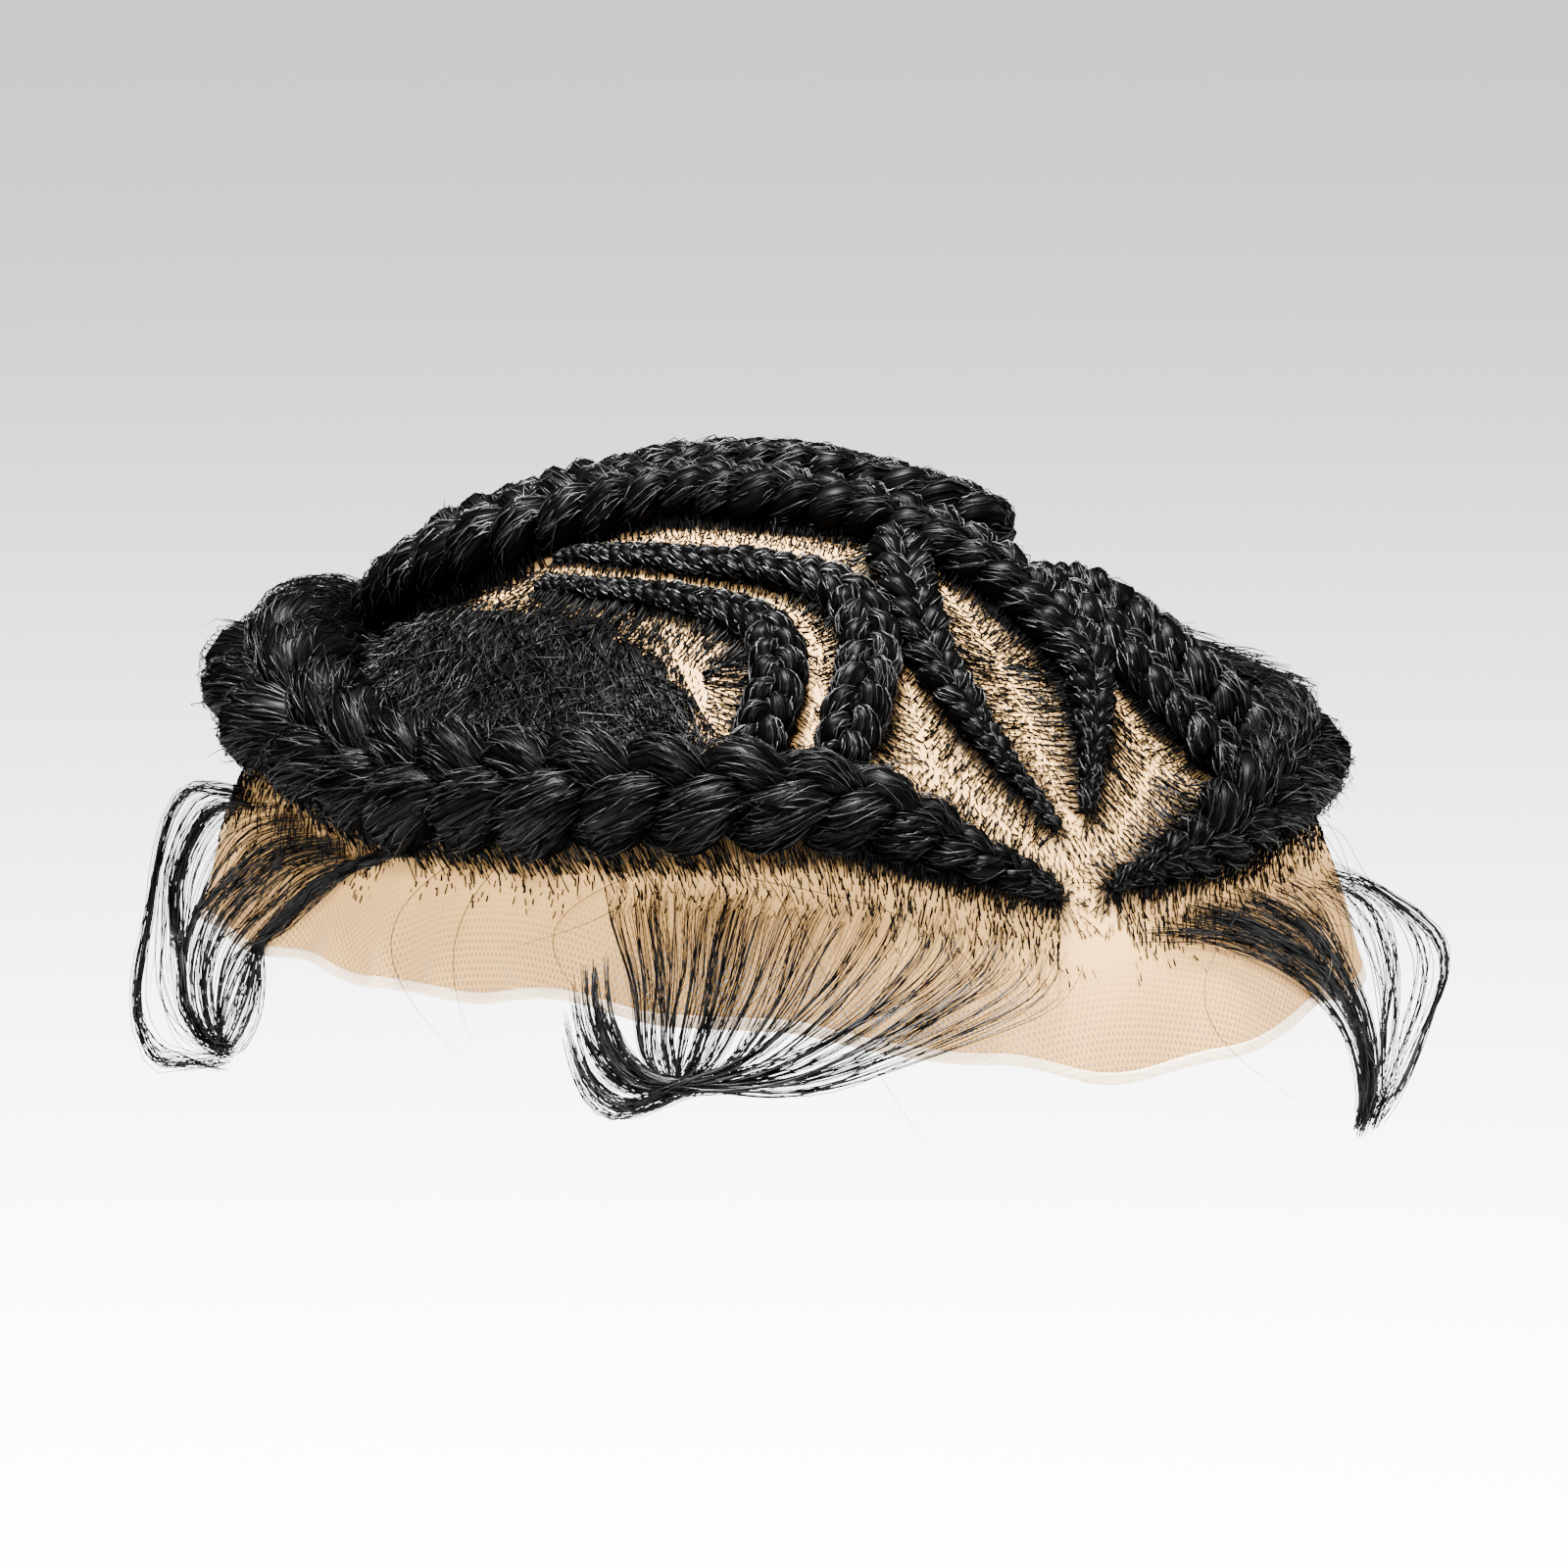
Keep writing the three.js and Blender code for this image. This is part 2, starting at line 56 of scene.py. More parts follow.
# Cap form: a squarish dome with its crown at the origin
CAP_HALF_WIDTH = 77
CAP_HALF_LENGTH = 97
CAP_RISE = 99
CAP_SQUARENESS = 2.25
CROWN_BACK = 8
TAPE_RADIUS = 92
HEART = np.array([0, 0, -CAP_RISE / 2])
LACE_THICKNESS = 1

# Lace: angle from the front, reach of the hairline and the cut edge, stand-off at both
LACE_TABLE = np.array([
    [-180, 92, 106, 5, 4],
    [-150, 92, 110, 7, 6],
    [-121, 93, 115, 9, 8],
    [-90, 94, 117, 4, 4],
    [-58, 92, 116, 2, 1],
    [-31, 91, 117, 1, 0],
    [-12, 99, 123, 0, 0],
    [0, 102, 125, 0, 0],
    [12, 100, 124, 0, 0],
    [31, 95, 121, 3, 2],
    [58, 94, 120, 9, 8],
    [90, 94, 117, 6, 5],
    [121, 93, 115, 8, 7],
    [150, 92, 110, 7, 6],
    [180, 92, 106, 5, 4],
], float)
BULGE_RUN = 34
BULGE_PAST_HAIRLINE = 5
LACE_FOLDS = [
    {"angle": -80, "half_width": 3, "height": 2.5},
    {"angle": 74, "half_width": 3, "height": 2},
]
NET_THICKNESS = 0.5
CAP_SECTORS = 200
CAP_RINGS = 40
MARGIN_RINGS = 12
MARGIN_WIDTH = 24
HEM_WIDTH = 1.6
HEM_THICKNESS = 0.9
HEM_PROUD = 0.15
HEM_ROUND = 0.25
LACE_MAP_PER_MM = 0.01

# Plaits: how the three strands share a row's width and height
STRAND_SWAY = 0.25
STRAND_HALF_WIDTH = 0.27
STRAND_MIDDLE = 0.43
STRAND_LIFT = 0.23
STRAND_HALF_HEIGHT = 0.31
STRAND_SWELL = 0.3
STRAND_RIDGE = 0.06
STRAND_UNEVEN = 0.08
PITCH_PER_WIDTH = 0.58
SIDE_PITCH_PER_WIDTH = 0.74
SIDE_BRAIDS = ["right_side_braid", "left_side_braid"]
PITCH_LEAST = 2.4
LINE_STEP = 0.5
SECTIONS_PER_TURN = 18
STRAND_SIDES = 10
STRAND_HIDDEN = 0.85
CURVE_POINTS = 700

# Rows: rise is height over width, rows are [left, back, width] from the thin start on
BRAIDS = {
    "right_side_braid": {
        "rise": 0.9,
        "rows": [
            [-3.3, -99.7, 2.4], [-11.5, -95.9, 5.3], [-18.6, -91.7, 7.1], [-25.9, -85.7, 10],
            [-33, -80.8, 12.4], [-42.9, -75.7, 14.1], [-54.9, -67.5, 15.3], [-66.8, -56.7, 15.9],
            [-78.4, -40.7, 16.5], [-87, -17.7, 17.1], [-86, 9.5, 18.4], [-74, 34.5, 20.5],
            [-58, 52.5, 21], [-41, 67.5, 19.5], [-21, 79, 16], [1.2, 83.6, 11.5],
        ],
    },
    "left_side_braid": {
        "rise": 0.76,
        "rows": [
            [6.6, -99, 2.4], [16.9, -95.6, 4.7], [29.2, -91, 8.2], [38.2, -84.9, 11.8],
            [52, -73.8, 14.2], [67, -60, 14.8], [78.5, -42.5, 16], [86.5, -18, 17], [86, 9.5, 18.2],
            [75, 35, 19.5], [59, 53, 20], [41.5, 68, 18.5], [21, 79, 16], [-1.2, 83.6, 11.5],
        ],
    },
    "left_centre_braid": {
        "rise": 0.84,
        "rows": [
            [6.7, -87.8, 2.2], [10.5, -81, 3.4], [13.8, -74.9, 4.8], [16.1, -69.6, 6.2],
            [17.9, -63, 7.6], [17, -56, 8.8], [14.5, -49, 9.6], [11, -42, 10], [7, -36, 10],
            [-1, -26, 10], [-8, -19, 10], [-16, -10.7, 10], [-27, 1.7, 11], [-34.5, 12, 12.4],
            [-38.5, 27, 13.6], [-37.5, 44, 13.4], [-34.5, 58, 12], [-31, 71, 9.5],
        ],
    },
    "right_centre_braid": {
        "rise": 0.82,
        "rows": [
            [0.5, -90, 2.2], [-2.9, -83.1, 3.2], [-5.7, -76, 4.4], [-7.5, -68.2, 6],
            [-7.9, -59.9, 7.4], [-6, -52.1, 8.2], [-3, -44, 8.6], [2, -35, 8.6],
        ],
    },
    "right_upper_bend_braid": {
        "rise": 0.82,
        "rows": [
            [-40.5, 5, 2.6], [-36.5, -12, 3.8], [-27.6, -27.6, 5], [-19.4, -36.4, 6],
            [-14.2, -43.8, 7], [-13.8, -51.2, 8], [-17.8, -59.4, 8.4], [-23.7, -66.3, 8.4],
            [-32, -74, 8],
        ],
    },
    "right_lower_bend_braid": {
        "rise": 0.82,
        "rows": [
            [-47.8, 1, 2.6], [-45, -14.6, 3.4], [-36.8, -30.6, 4.4], [-30.2, -41, 5.6],
            [-28, -48.5, 6.8], [-30.5, -55.3, 7.6], [-35.1, -60.5, 7.6], [-44, -68, 7.4],
        ],
    },
    "left_upper_bend_braid": {
        "rise": 0.82,
        "rows": [
            [28, -37, 4.6], [26.5, -43, 6.8], [26.6, -50.5, 8], [29.6, -59, 8.4], [34.4, -67.5, 8.6],
            [41.5, -78, 8.4],
        ],
    },
    "left_lower_bend_braid": {
        "rise": 1,
        "rows": [
            [39, -31, 5], [39.6, -41, 8], [43, -51.5, 9.6], [49.5, -60.5, 10], [59, -69, 9.6],
        ],
    },
    "crown_braid_1": {
        "rise": 1,
        "rows": [
            [25, -31.5, 9.6], [18, -26.5, 9.8], [9, -18.5, 9], [1, -11, 9.4], [-8, -2, 9.2],
            [-20, 13, 9], [-25.5, 28, 9.4], [-25, 44, 9.4], [-22.5, 60, 9], [-20, 72, 8],
        ],
    },
    "crown_braid_2": {
        "rise": 0.8,
        "rows": [
            [38, -21, 5], [29, -16, 8.4], [17, -9, 9.8], [9, -1, 10], [1, 7, 10], [-8, 18, 10],
            [-13, 30, 10], [-13, 46, 9.4], [-11, 60, 8.6], [-9, 74, 7.6],
        ],
    },
    "crown_braid_3": {
        "rise": 0.8,
        "rows": [
            [41, -6, 5], [31, -1.5, 8.4], [19, 7, 9.8], [10, 15, 10], [3, 24, 10], [-0.5, 35, 9.8],
            [-0.5, 48, 9.2], [1, 61, 8.4], [2, 75, 7.6],
        ],
    },
    "crown_braid_4": {
        "rise": 0.8,
        "rows": [
            [42, 9, 5], [33, 13, 8.4], [23, 20, 9.6], [15.5, 29, 10], [12, 40, 9.6], [12, 52, 9],
            [13.5, 63, 8.4], [15, 75, 7.6],
        ],
    },
    "crown_braid_5": {
        "rise": 0.8,
        "rows": [
            [42, 25, 5], [34, 29, 8.4], [27, 36, 9.4], [24.5, 46, 9.4], [25.5, 57, 9], [28, 72, 8],
        ],
    },
}

# Combed panels: rows of [left, back] on the parting, then [left, back] on the braid's side
PANELS = {
    "right_combed_panel": {
        "depth": 4,
        "climb": 2,
        "rows": [
            [-45, 43, -55, 50], [-51, 22, -76, 26], [-52.5, -6, -80, -10], [-48.5, -24.5, -70, -34],
            [-45.5, -37.5, -60, -52.5], [-45, -48.5, -51.5, -61],
        ],
    },
    "left_combed_panel": {
        "depth": 9,
        "climb": 2,
        "rows": [
            [42, 43, 55, 50], [48.5, 22, 76, 26], [49, -4, 80, -8], [48.5, -22, 77, -30],
            [49, -37, 73, -45], [55, -51, 67, -57],
        ],
    },
}

# Combed hair: the pad's heights, the bands of short hairs round it, and the hairs over it
PANEL_EDGE = 0.4
PANEL_SEAT = 0.3
PANEL_END_RUN = 0.22
PANEL_DASH_BAND = 7
PANEL_FRONT_BAND = 10
PANEL_FRONT_REACH = 26
PANEL_FRONT_HAIRS = 3000
PANEL_BRIGHT_SHARE = 0.35
PANEL_REACH = 1.22
PANEL_INSET = 0.07
PANEL_ROOTS_OUT = 1
PANEL_PARTING_OUT = 4.5
PANEL_EDGE_SHARE = 0.16
PANEL_ROOTS_AHEAD = 5
PANEL_HAIRS_PER_MM2 = 0.65
PANEL_HAIR_POINTS = 6
PANEL_HAIR_LENGTH = (5, 11)
PANEL_CURVE_POINTS = 120
PANEL_PAD_STEPS = (60, 18)

# Loose locks: each strand is rows of [left, back, lift over the lace], from root to tip
SWOOP_ROOTS = [
    [[-75, -63.8, 0.4], [-78.1, -74.5, 2.5], [-79.8, -80.2, 3.2], [-83.5, -89, 4], [-81.5, -95.5, 4.5]],
    [[-57.4, -78.6, 0.4], [-62.2, -82.9, 2.5], [-68.8, -89, 3.4], [-76, -94, 4], [-80.5, -96.6, 4.5]],
    [[-44.6, -87.1, 0.4], [-51.5, -91.4, 2.5], [-60.3, -96.7, 3.4], [-71.6, -100, 4], [-79.5, -97.6, 4.5]],
    [[-25, -97.5, 0.4], [-32, -103, 2.5], [-45, -106.5, 3.4], [-62, -105.5, 4], [-78.5, -98.6, 4.5]],
    [[-1.4, -108.5, 0.4], [-11.4, -114.6, 2.5], [-34.1, -115.7, 3.4], [-58, -111.5, 4], [-77.5, -99.6, 4.5]],
]
SWOOP_TAILS = [
    [[-80, -97.6, 4.5], [-86.1, -95.4, 4.5], [-92.5, -91.5, 4.5], [-95.4, -84.9, 4.5],
     [-94, -77.1, 4.2], [-91.4, -71, 4]],
    [[-80, -97.4, 4.5], [-86, -92, 5], [-88.6, -84, 5], [-87.4, -76.8, 4.5], [-82.5, -70.5, 4]],
    [[-79.4, -97.2, 4.5], [-83.5, -91.5, 5], [-84.6, -86, 5], [-83, -80, 4.5], [-79, -74.5, 4]],
]
RIGHT_TEMPLE_STRANDS = [
    [[-92.9, -29.3, 0.3], [-102.5, 2.5, 1.5], [-108.3, 19.3, 1.5], [-111, 29, 1.5], [-116, 26, 1.7],
     [-121.4, 26, 2], [-125.5, 34.1, 2], [-123.5, 43, 1.6], [-120, 51, 1.5]],
    [[-100.7, -5.8, 0.3], [-105.1, 13.2, 1.5], [-109.5, 23, 1.5], [-113.1, 37.4, 1.5], [-117, 43, 1.5],
     [-121, 44, 1.5], [-124.5, 39, 1.6]],
    [[-96.6, 14.5, 0.3], [-96.6, 31.4, 1.5], [-98.2, 47.3, 1.7], [-97.5, 62, 2.2], [-102.5, 65.8, 2.4],
     [-112, 60, 2], [-118.5, 52, 1.6], [-122.5, 44, 1.5], [-124.5, 36, 1.8]],
    [[-85.2, 48, 0.3], [-82, 61, 4], [-87.6, 67, 5.5], [-94, 70, 3.6], [-100, 66.5, 3], [-104.5, 62, 3],
     [-111, 60, 2.4], [-117.5, 53.5, 1.8], [-122, 45, 1.5], [-124.5, 38, 1.7]],
    [[-81.5, 50.6, 0.3], [-78.8, 61.3, 8], [-84.9, 69.1, 9], [-90.2, 73.6, 8], [-98.9, 74.4, 8],
     [-104, 77.4, 7.5], [-109, 77, 5], [-116, 66, 2.6], [-121.5, 54, 1.8], [-124.5, 45, 1.6], [-126, 37, 2]],
]
LEFT_TEMPLE_STRANDS = [
    [[9.7, -106.1, 0.3], [24.7, -105.5, 1.5], [37.3, -105.6, 1.5], [52, -105.9, 1.5], [65.6, -105.8, 1.5],
     [72, -110.2, 1.5], [71.5, -116, 1.5], [68.5, -120, 1.5]],
    [[24, -99.6, 0.3], [37, -100.8, 1.5], [52, -101, 1.5], [67, -99.6, 1.5], [76, -102.4, 1.5],
     [77, -109.5, 1.5], [71, -119, 1.5]],
    [[38, -94.4, 0.3], [50.8, -95.9, 1.5], [70, -93.9, 1.5], [79.8, -97.2, 1.5], [80.6, -105.5, 1.5],
     [73.4, -117.4, 1.5]],
    [[69, -79.6, 0.3], [84.1, -76.6, 4], [91.2, -79.4, 4.5], [95.4, -85.6, 2.5], [86.5, -103.5, 1.5],
     [77, -115, 1.5]],
    [[80, -68.5, 0.3], [84.1, -75.8, 9], [89.2, -78.8, 13.5], [90.5, -82.6, 13], [96.5, -86, 7.5],
     [95.5, -95, 3], [80.4, -112.6, 1.5]],
]

# Temple locks: which strands the thick clumps follow, counted from 0, and the number of hairs
TEMPLE_LOCKS = {
    "right_temple_lock": {
        "strands": RIGHT_TEMPLE_STRANDS,
        "gathers": [0, 1, 2, 3, 3, 3, 4, 4, 4, 4],
        "hairs": 300,
    },
    "left_temple_lock": {
        "strands": LEFT_TEMPLE_STRANDS,
        "gathers": [0, 1, 1, 2, 2, 3, 3, 4, 4],
        "hairs": 250,
    },
}

# How the hairs of a lock gather: clumps, their spread between strands, and how far apart hairs lie
TEMPLE_LAID = 2.2
TEMPLE_CLUMPS = 24
TEMPLE_SPARE_CLUMPS = 4
TEMPLE_SPREAD = (0.04, 0.3)
TEMPLE_LOOSE_SHARE = 0.15
TEMPLE_APART = 1.2
SWOOP_HAIRS = 300
SWOOP_CLUMPS = 50
SWOOP_SPREAD = (0.02, 0.1)
SWOOP_LOOSE_SHARE = 0.25
SWOOP_APART = 0.8
LOCK_POINTS = 20
LOCK_HAIR_RADIUS = 0.085
ROOT_LIFT = 0.1

# Crimped fibres on the plaits, and those that stand off them
FIBRE_RADIUS = 0.11
FIBRE_POINTS = 5
FIBRES_PER_MM2 = 0.53
FIBRE_FULL_AT = 3.6
FIBRE_LENGTH = (3, 7.5)
FLYAWAY_SHARE = 0.16
FLYAWAY_LENGTH = (5, 10)
FLYAWAY_STAND = (0.8, 3)
CRIMP_WAVE = 4.4
CRIMP_SWING = 0.22

# Hairs drawn from the partings into the rows: spacing, reach from a row's edge, slant and fading
COMB_SPACING = 0.98
COMB_RADIUS = 0.09
COMB_STEP = 0.4
COMB_MOST = 14
COMB_BARE = -0.9
COMB_SLANT = 0.35
COMB_FADE = 7
COMB_FULL_FAR = 0.28
COMB_DENSE_REACH = 3
COMB_DENSE_PER_MM2 = 0.55
DASH_LENGTH = (0.8, 2.2)
DASH_RADIUS = 0.125
TIP_HAIRS = 110
TIP_REACH = 9

# Fringe and knots along the hairline, knots on the partings, and stray hairs
FRINGE_DENSE_PER_MM2 = 1.3
FRINGE_PAST = 9
KNOT_SPACING = 1.6
KNOT_ROWS = 3
KNOT_LENGTH = (0.5, 1.3)
KNOT_RADIUS = (0.1, 0.18)
KNOT_HEIGHT = 0.12
PARTING_KNOT_SPACING = 1.25
PARTING_KNOT_GAP = 1.8
PARTING_KNOT_REACH = 100
STRAY_COUNT = 18
STRAY_POINTS = 20
STRAY_RADIUS = 0.075
STRAY_ANGLES = (14, 70)

# Map coordinates along hairs
HAIR_MAP_PER_MM = 0.1

# Hair finishes: tones of the streaks, the most coat, and the bump in metres
HAIR_FINISHES = {
    # Lighter streaks on the rows: random hair tone, raised far enough that it is partly painted sheen
    "black_crimped_hair": {
        "dark": (0.001, 0.001, 0.001, 1),
        "light": (0.007, 0.007, 0.0072, 1),
        "gloss": 0.6,
        "bump": 0,
    },
    "black_side_braid_hair": {
        "dark": (0.0002, 0.0002, 0.0002, 1),
        "light": (0.002, 0.002, 0.0021, 1),
        "gloss": 0.3,
        "bump": 0,
    },
    "black_loose_hair": {
        "dark": (0.0002, 0.0002, 0.0002, 1),
        "light": (0.0015, 0.0015, 0.0015, 1),
        "gloss": 0.28,
        "bump": 0,
    },
    "black_laid_hair": {
        "dark": (0.0002, 0.0002, 0.0002, 1),
        "light": (0.0015, 0.0014, 0.0014, 1),
        "gloss": 0.12,
        "bump": 0,
    },
    "black_hair_mass": {
        "dark": (0.0002, 0.0002, 0.0002, 1),
        "light": (0.001, 0.001, 0.001, 1),
        "gloss": 0.05,
        "bump": 0.0008,
    },
}
STREAK_ALONG = 1.5
STREAK_ACROSS = 46.0
HAIR_SPECULAR = 0.0
HAIR_COAT_ROUGHNESS = 0.42
HAIR_COAT_IOR = 1.7

# The net's pitch and holes: map units, shares of the pitch, and relief in metres
NET_PITCH = 0.011
NET_HOLE = 0.34
NET_HOLE_SOFT = 0.08
NET_RELIEF = 0.0002
HEM_HOLE = 0.2

# Colours of the lace, its hem and the floor
THREAD_DARK = (0.295, 0.166, 0.052, 1)
THREAD_LIGHT = (0.355, 0.202, 0.066, 1)
# Painted light: a richer tan for the brightly lit margin, where the net stands off and catches the light
LIT_MARGIN_TINT = (0.34, 0.175, 0.042, 1)
HOLE_SHADE = (0.16, 0.09, 0.035, 1)
# Painted shade: near-black laid into the lace beside the rows, for dense hair roots and the shade there
HAIR_AND_SHADE_BLACK = (0.008, 0.007, 0.006, 1)
HEM_TINT = (0.66, 0.52, 0.37, 1)
HEM_HOLE_TINT = (0.5, 0.35, 0.2, 1)
FLOOR_TINTS = [(0.93, 0.93, 0.93, 1), (0.96, 0.96, 0.96, 1)]
WHITE = (1, 1, 1, 1)
BLACK = (0, 0, 0, 1)

# Camera: angle round the piece and above it, and what it frames
VIEW_AZIMUTH = -31.5
VIEW_ELEVATION = 7
VIEW_DISTANCE = 1.7
VIEW_TARGET = Vector((0, -0.008, -0.044))
VIEW_WIDTH = 0.242
SENSOR_WIDTH = 36

# Stage, in metres and watts
FLOOR_HEIGHT = -0.27
FLOOR_SIZE = 40
FLOOR_GLOW = 0.85
STUDIO_STRENGTH = 0.3
LIGHTS = {
    "key_light": {"location": (-0.9, -1.0, 0.9), "size": 0.35, "power": 86},
    "fill_light": {"location": (1.1, -0.8, 0.5), "size": 0.5, "power": 60},
    "side_light": {"location": (-1.2, -0.5, 0.0), "size": 0.5, "power": 4},
    "top_light": {"location": (-0.15, 0.1, 1.25), "size": 0.4, "power": 400},
}


# Cap form


def ease(share):
    """Smooth step from 0 to 1."""
    share = np.clip(share, 0, 1)
    return share * share * (3 - 2 * share)


def unit(vectors):
    return vectors / (np.linalg.norm(vectors, axis=-1, keepdims=True) + 1e-12)


def lace_at(angle):
    """Hairline, edge, bulge and flare at angles round the cap, in degrees."""
    high = np.clip(np.searchsorted(LACE_TABLE[:, 0], angle), 1, len(LACE_TABLE) - 1)
    low = high - 1
    share = ease((angle - LACE_TABLE[low, 0]) / (LACE_TABLE[high, 0] - LACE_TABLE[low, 0]))
    row = LACE_TABLE[low, 1:] + (LACE_TABLE[high, 1:] - LACE_TABLE[low, 1:]) * share[..., None]
    return np.moveaxis(row, -1, 0)


def angle_of(place):
    """Angle of places round the crown, in degrees from the front."""
    return np.degrees(np.arctan2(place[..., 0], -place[..., 1]))


def at_angle(angle, reach):
    """Places at angles from the front and tape distances from the crown."""
    turn = np.radians(angle)
    return np.stack([reach * np.sin(turn), -reach * np.cos(turn)], -1)


def lace_lift(place):
    """How far the lace stands off the cap form."""
    reach = np.linalg.norm(place, axis=-1)
    hairline, edge, bulge, flare = lace_at(angle_of(place))
    rim = hairline + BULGE_PAST_HAIRLINE
    swelling = bulge * ease((reach - rim + BULGE_RUN) / BULGE_RUN)
    return swelling + (flare - bulge) * ease((reach - rim) / (edge - rim))


def form_point(place):
    """Points of the cap form at places, in mm."""
    turn = np.linalg.norm(place, axis=-1) / TAPE_RADIUS
    angle = np.arctan2(place[..., 0], -place[..., 1])
    side = np.abs(np.sin(angle) / CAP_HALF_WIDTH) ** CAP_SQUARENESS
    front = np.abs(np.cos(angle) / CAP_HALF_LENGTH) ** CAP_SQUARENESS
    radius = (side + front) ** (-1 / CAP_SQUARENESS) * np.sin(turn)
    drop = 1 - np.cos(turn)
    return np.stack([
        radius * np.sin(angle),
        -radius * np.cos(angle) - CROWN_BACK * drop,
        -CAP_RISE * drop,
    ], -1)


def form_normal(place):
    """Outward directions of the cap form at places."""
    step = 0.05
    left = np.array([step, 0])
    back = np.array([0, step])
    across = form_point(place + left) - form_point(place - left)
    along = form_point(place + back) - form_point(place - back)
    return unit(np.cross(across, along))


def over_lace(place, height=0.0):
    """Points over the lace's outer face, in mm: height 0 lies on it."""
    lift = lace_lift(place) + LACE_THICKNESS + height
    return form_point(place) + form_normal(place) * lift[..., None]


# Lines


def root_gap(one, other):
    """Square root of the distance between points, for centripetal curves."""
    return np.sqrt(np.maximum(np.linalg.norm(other - one, axis=1, keepdims=True), 1e-6))


def smooth_line(rows, count):
    """Centripetal curve through rows, as count points even in row number."""
    rows = np.asarray(rows, float)
    extended = np.vstack([2 * rows[0] - rows[1], rows, 2 * rows[-1] - rows[-2]])
    share = np.linspace(0, len(rows) - 1, count)
    first = np.minimum(share.astype(int), len(rows) - 2)
    part = (share - first)[:, None]
    before, start, end, after = (extended[first + number] for number in range(4))
    gap_before = root_gap(before, start)
    gap = root_gap(start, end)
    gap_after = root_gap(end, after)
    slope_in = (start - before) / gap_before - (end - before) / (gap_before + gap) + (end - start) / gap
    slope_out = (end - start) / gap - (after - start) / (gap + gap_after) + (after - end) / gap_after
    slope_in = slope_in * gap
    slope_out = slope_out * gap
    square = -3 * start + 3 * end - 2 * slope_in - slope_out
    cube = 2 * start - 2 * end + slope_in + slope_out
    return start + slope_in * part + square * part**2 + cube * part**3


def lengths_along(points):
    steps = np.linalg.norm(np.diff(points, axis=0), axis=1)
    return np.concatenate([[0], np.cumsum(steps)])


def resample(columns, at, where):
    """Rows interpolated from positions at to positions where."""
    return np.stack([np.interp(where, at, column) for column in columns.T], -1)


def braid_line(name):
    """A row's middle line at even steps: places, widths, and the side direction on the tape."""
    dense = smooth_line(BRAIDS[name]["rows"], CURVE_POINTS)
    run = lengths_along(over_lace(dense[:, :2]))
    count = int(run[-1] / LINE_STEP) + 1
    line = resample(dense, run, np.linspace(0, run[-1], count))
    heading = unit(np.gradient(line[:, :2], axis=0))
    side = np.stack([heading[:, 1], -heading[:, 0]], -1)
    probe = over_lace(line[:, :2] + side) - over_lace(line[:, :2] - side)
    stretch = 2 / np.linalg.norm(probe, axis=1)
    return {
        "place": line[:, :2],
        "width": line[:, 2],
        "heading": heading,
        "side": side,
        "stretch": stretch,
        "step": run[-1] / (count - 1),
    }


# Meshes from arrays


def new_object(name, mesh):
    piece = bpy.data.objects.new(name, mesh)
    bpy.context.scene.collection.objects.link(piece)
    return piece


def piece_from_chunks(name, chunks, *materials):
    """One object from chunks of points, faces and map coordinates: the last material serves the rest."""
    starts = np.cumsum([0] + [len(points) for points, _, _ in chunks])
    used = list(dict.fromkeys(materials))
    corners = []
    sizes = []
    slots = []
    for number, ((_, faces, _), start) in enumerate(zip(chunks, starts)):
        for group in faces:
            corners.append((group + start).ravel())
            sizes.append(np.full(len(group), group.shape[1]))
            slots.append(np.full(len(group), used.index(materials[min(number, len(materials) - 1)])))
    corners = np.concatenate(corners)
    sizes = np.concatenate(sizes)
    points = np.concatenate([points for points, _, _ in chunks]) * MM
    coords = np.concatenate([coords for _, _, coords in chunks])
    mesh = bpy.data.meshes.new(name)
    mesh.vertices.add(len(points))
    mesh.vertices.foreach_set("co", points.astype(np.float32).ravel())
    mesh.loops.add(len(corners))
    mesh.polygons.add(len(sizes))
    mesh.polygons.foreach_set("loop_start", np.concatenate([[0], np.cumsum(sizes)[:-1]]).astype(np.int32))
    mesh.polygons.foreach_set("vertices", corners.astype(np.int32))
    mesh.update(calc_edges=True)
    layer = mesh.uv_layers.new(name="UVMap")
    layer.data.foreach_set("uv", coords[corners].astype(np.float32).ravel())
    mesh.shade_smooth()
    for material in used:
        mesh.materials.append(material)
    mesh.polygons.foreach_set("material_index", np.concatenate(slots).astype(np.int32))
    return new_object(name, mesh)


def tube_faces(rings, sides):
    """Quads between rings of a tube whose points turn backwards round its line."""
    ring = np.arange(rings - 1)[:, None] * sides
    here = ring + np.arange(sides)
    after = ring + (np.arange(sides) + 1) % sides
    return np.stack([here, here + sides, after + sides, after], -1).reshape(-1, 4)


def hair_tubes(paths, radii, seeds):
    """Closed three-sided hairs along paths (hair, point, xyz)."""
    sides = 3
    count, points, _ = paths.shape
    along = unit(np.gradient(paths, axis=1))
    side = unit(np.cross(along, paths - HEART))
    up = np.cross(side, along)
    turn = 2 * np.pi * np.arange(sides) / sides
    ring = side[:, :, None] * np.cos(turn)[:, None] + up[:, :, None] * np.sin(turn)[:, None]
    vertices = (paths[:, :, None] + radii[:, :, None, None] * ring).reshape(-1, 3)
    first = (np.arange(count) * points * sides)[:, None, None]
    quads = (tube_faces(points, sides)[None] + first).reshape(-1, 4)
    start = np.array([[0, 1, 2]])
    end = np.array([[2, 1, 0]]) + (points - 1) * sides
    caps = (np.concatenate([start, end])[None] + first).reshape(-1, 3)
    steps = np.linalg.norm(np.diff(paths, axis=1, prepend=paths[:, :1]), axis=2)
    run = np.cumsum(steps, axis=1) * HAIR_MAP_PER_MM
    coords = np.stack([run, np.broadcast_to(seeds[:, None], run.shape)], -1)
    coords = np.repeat(coords.reshape(-1, 2), sides, axis=0)
    return vertices, [quads, caps], coords


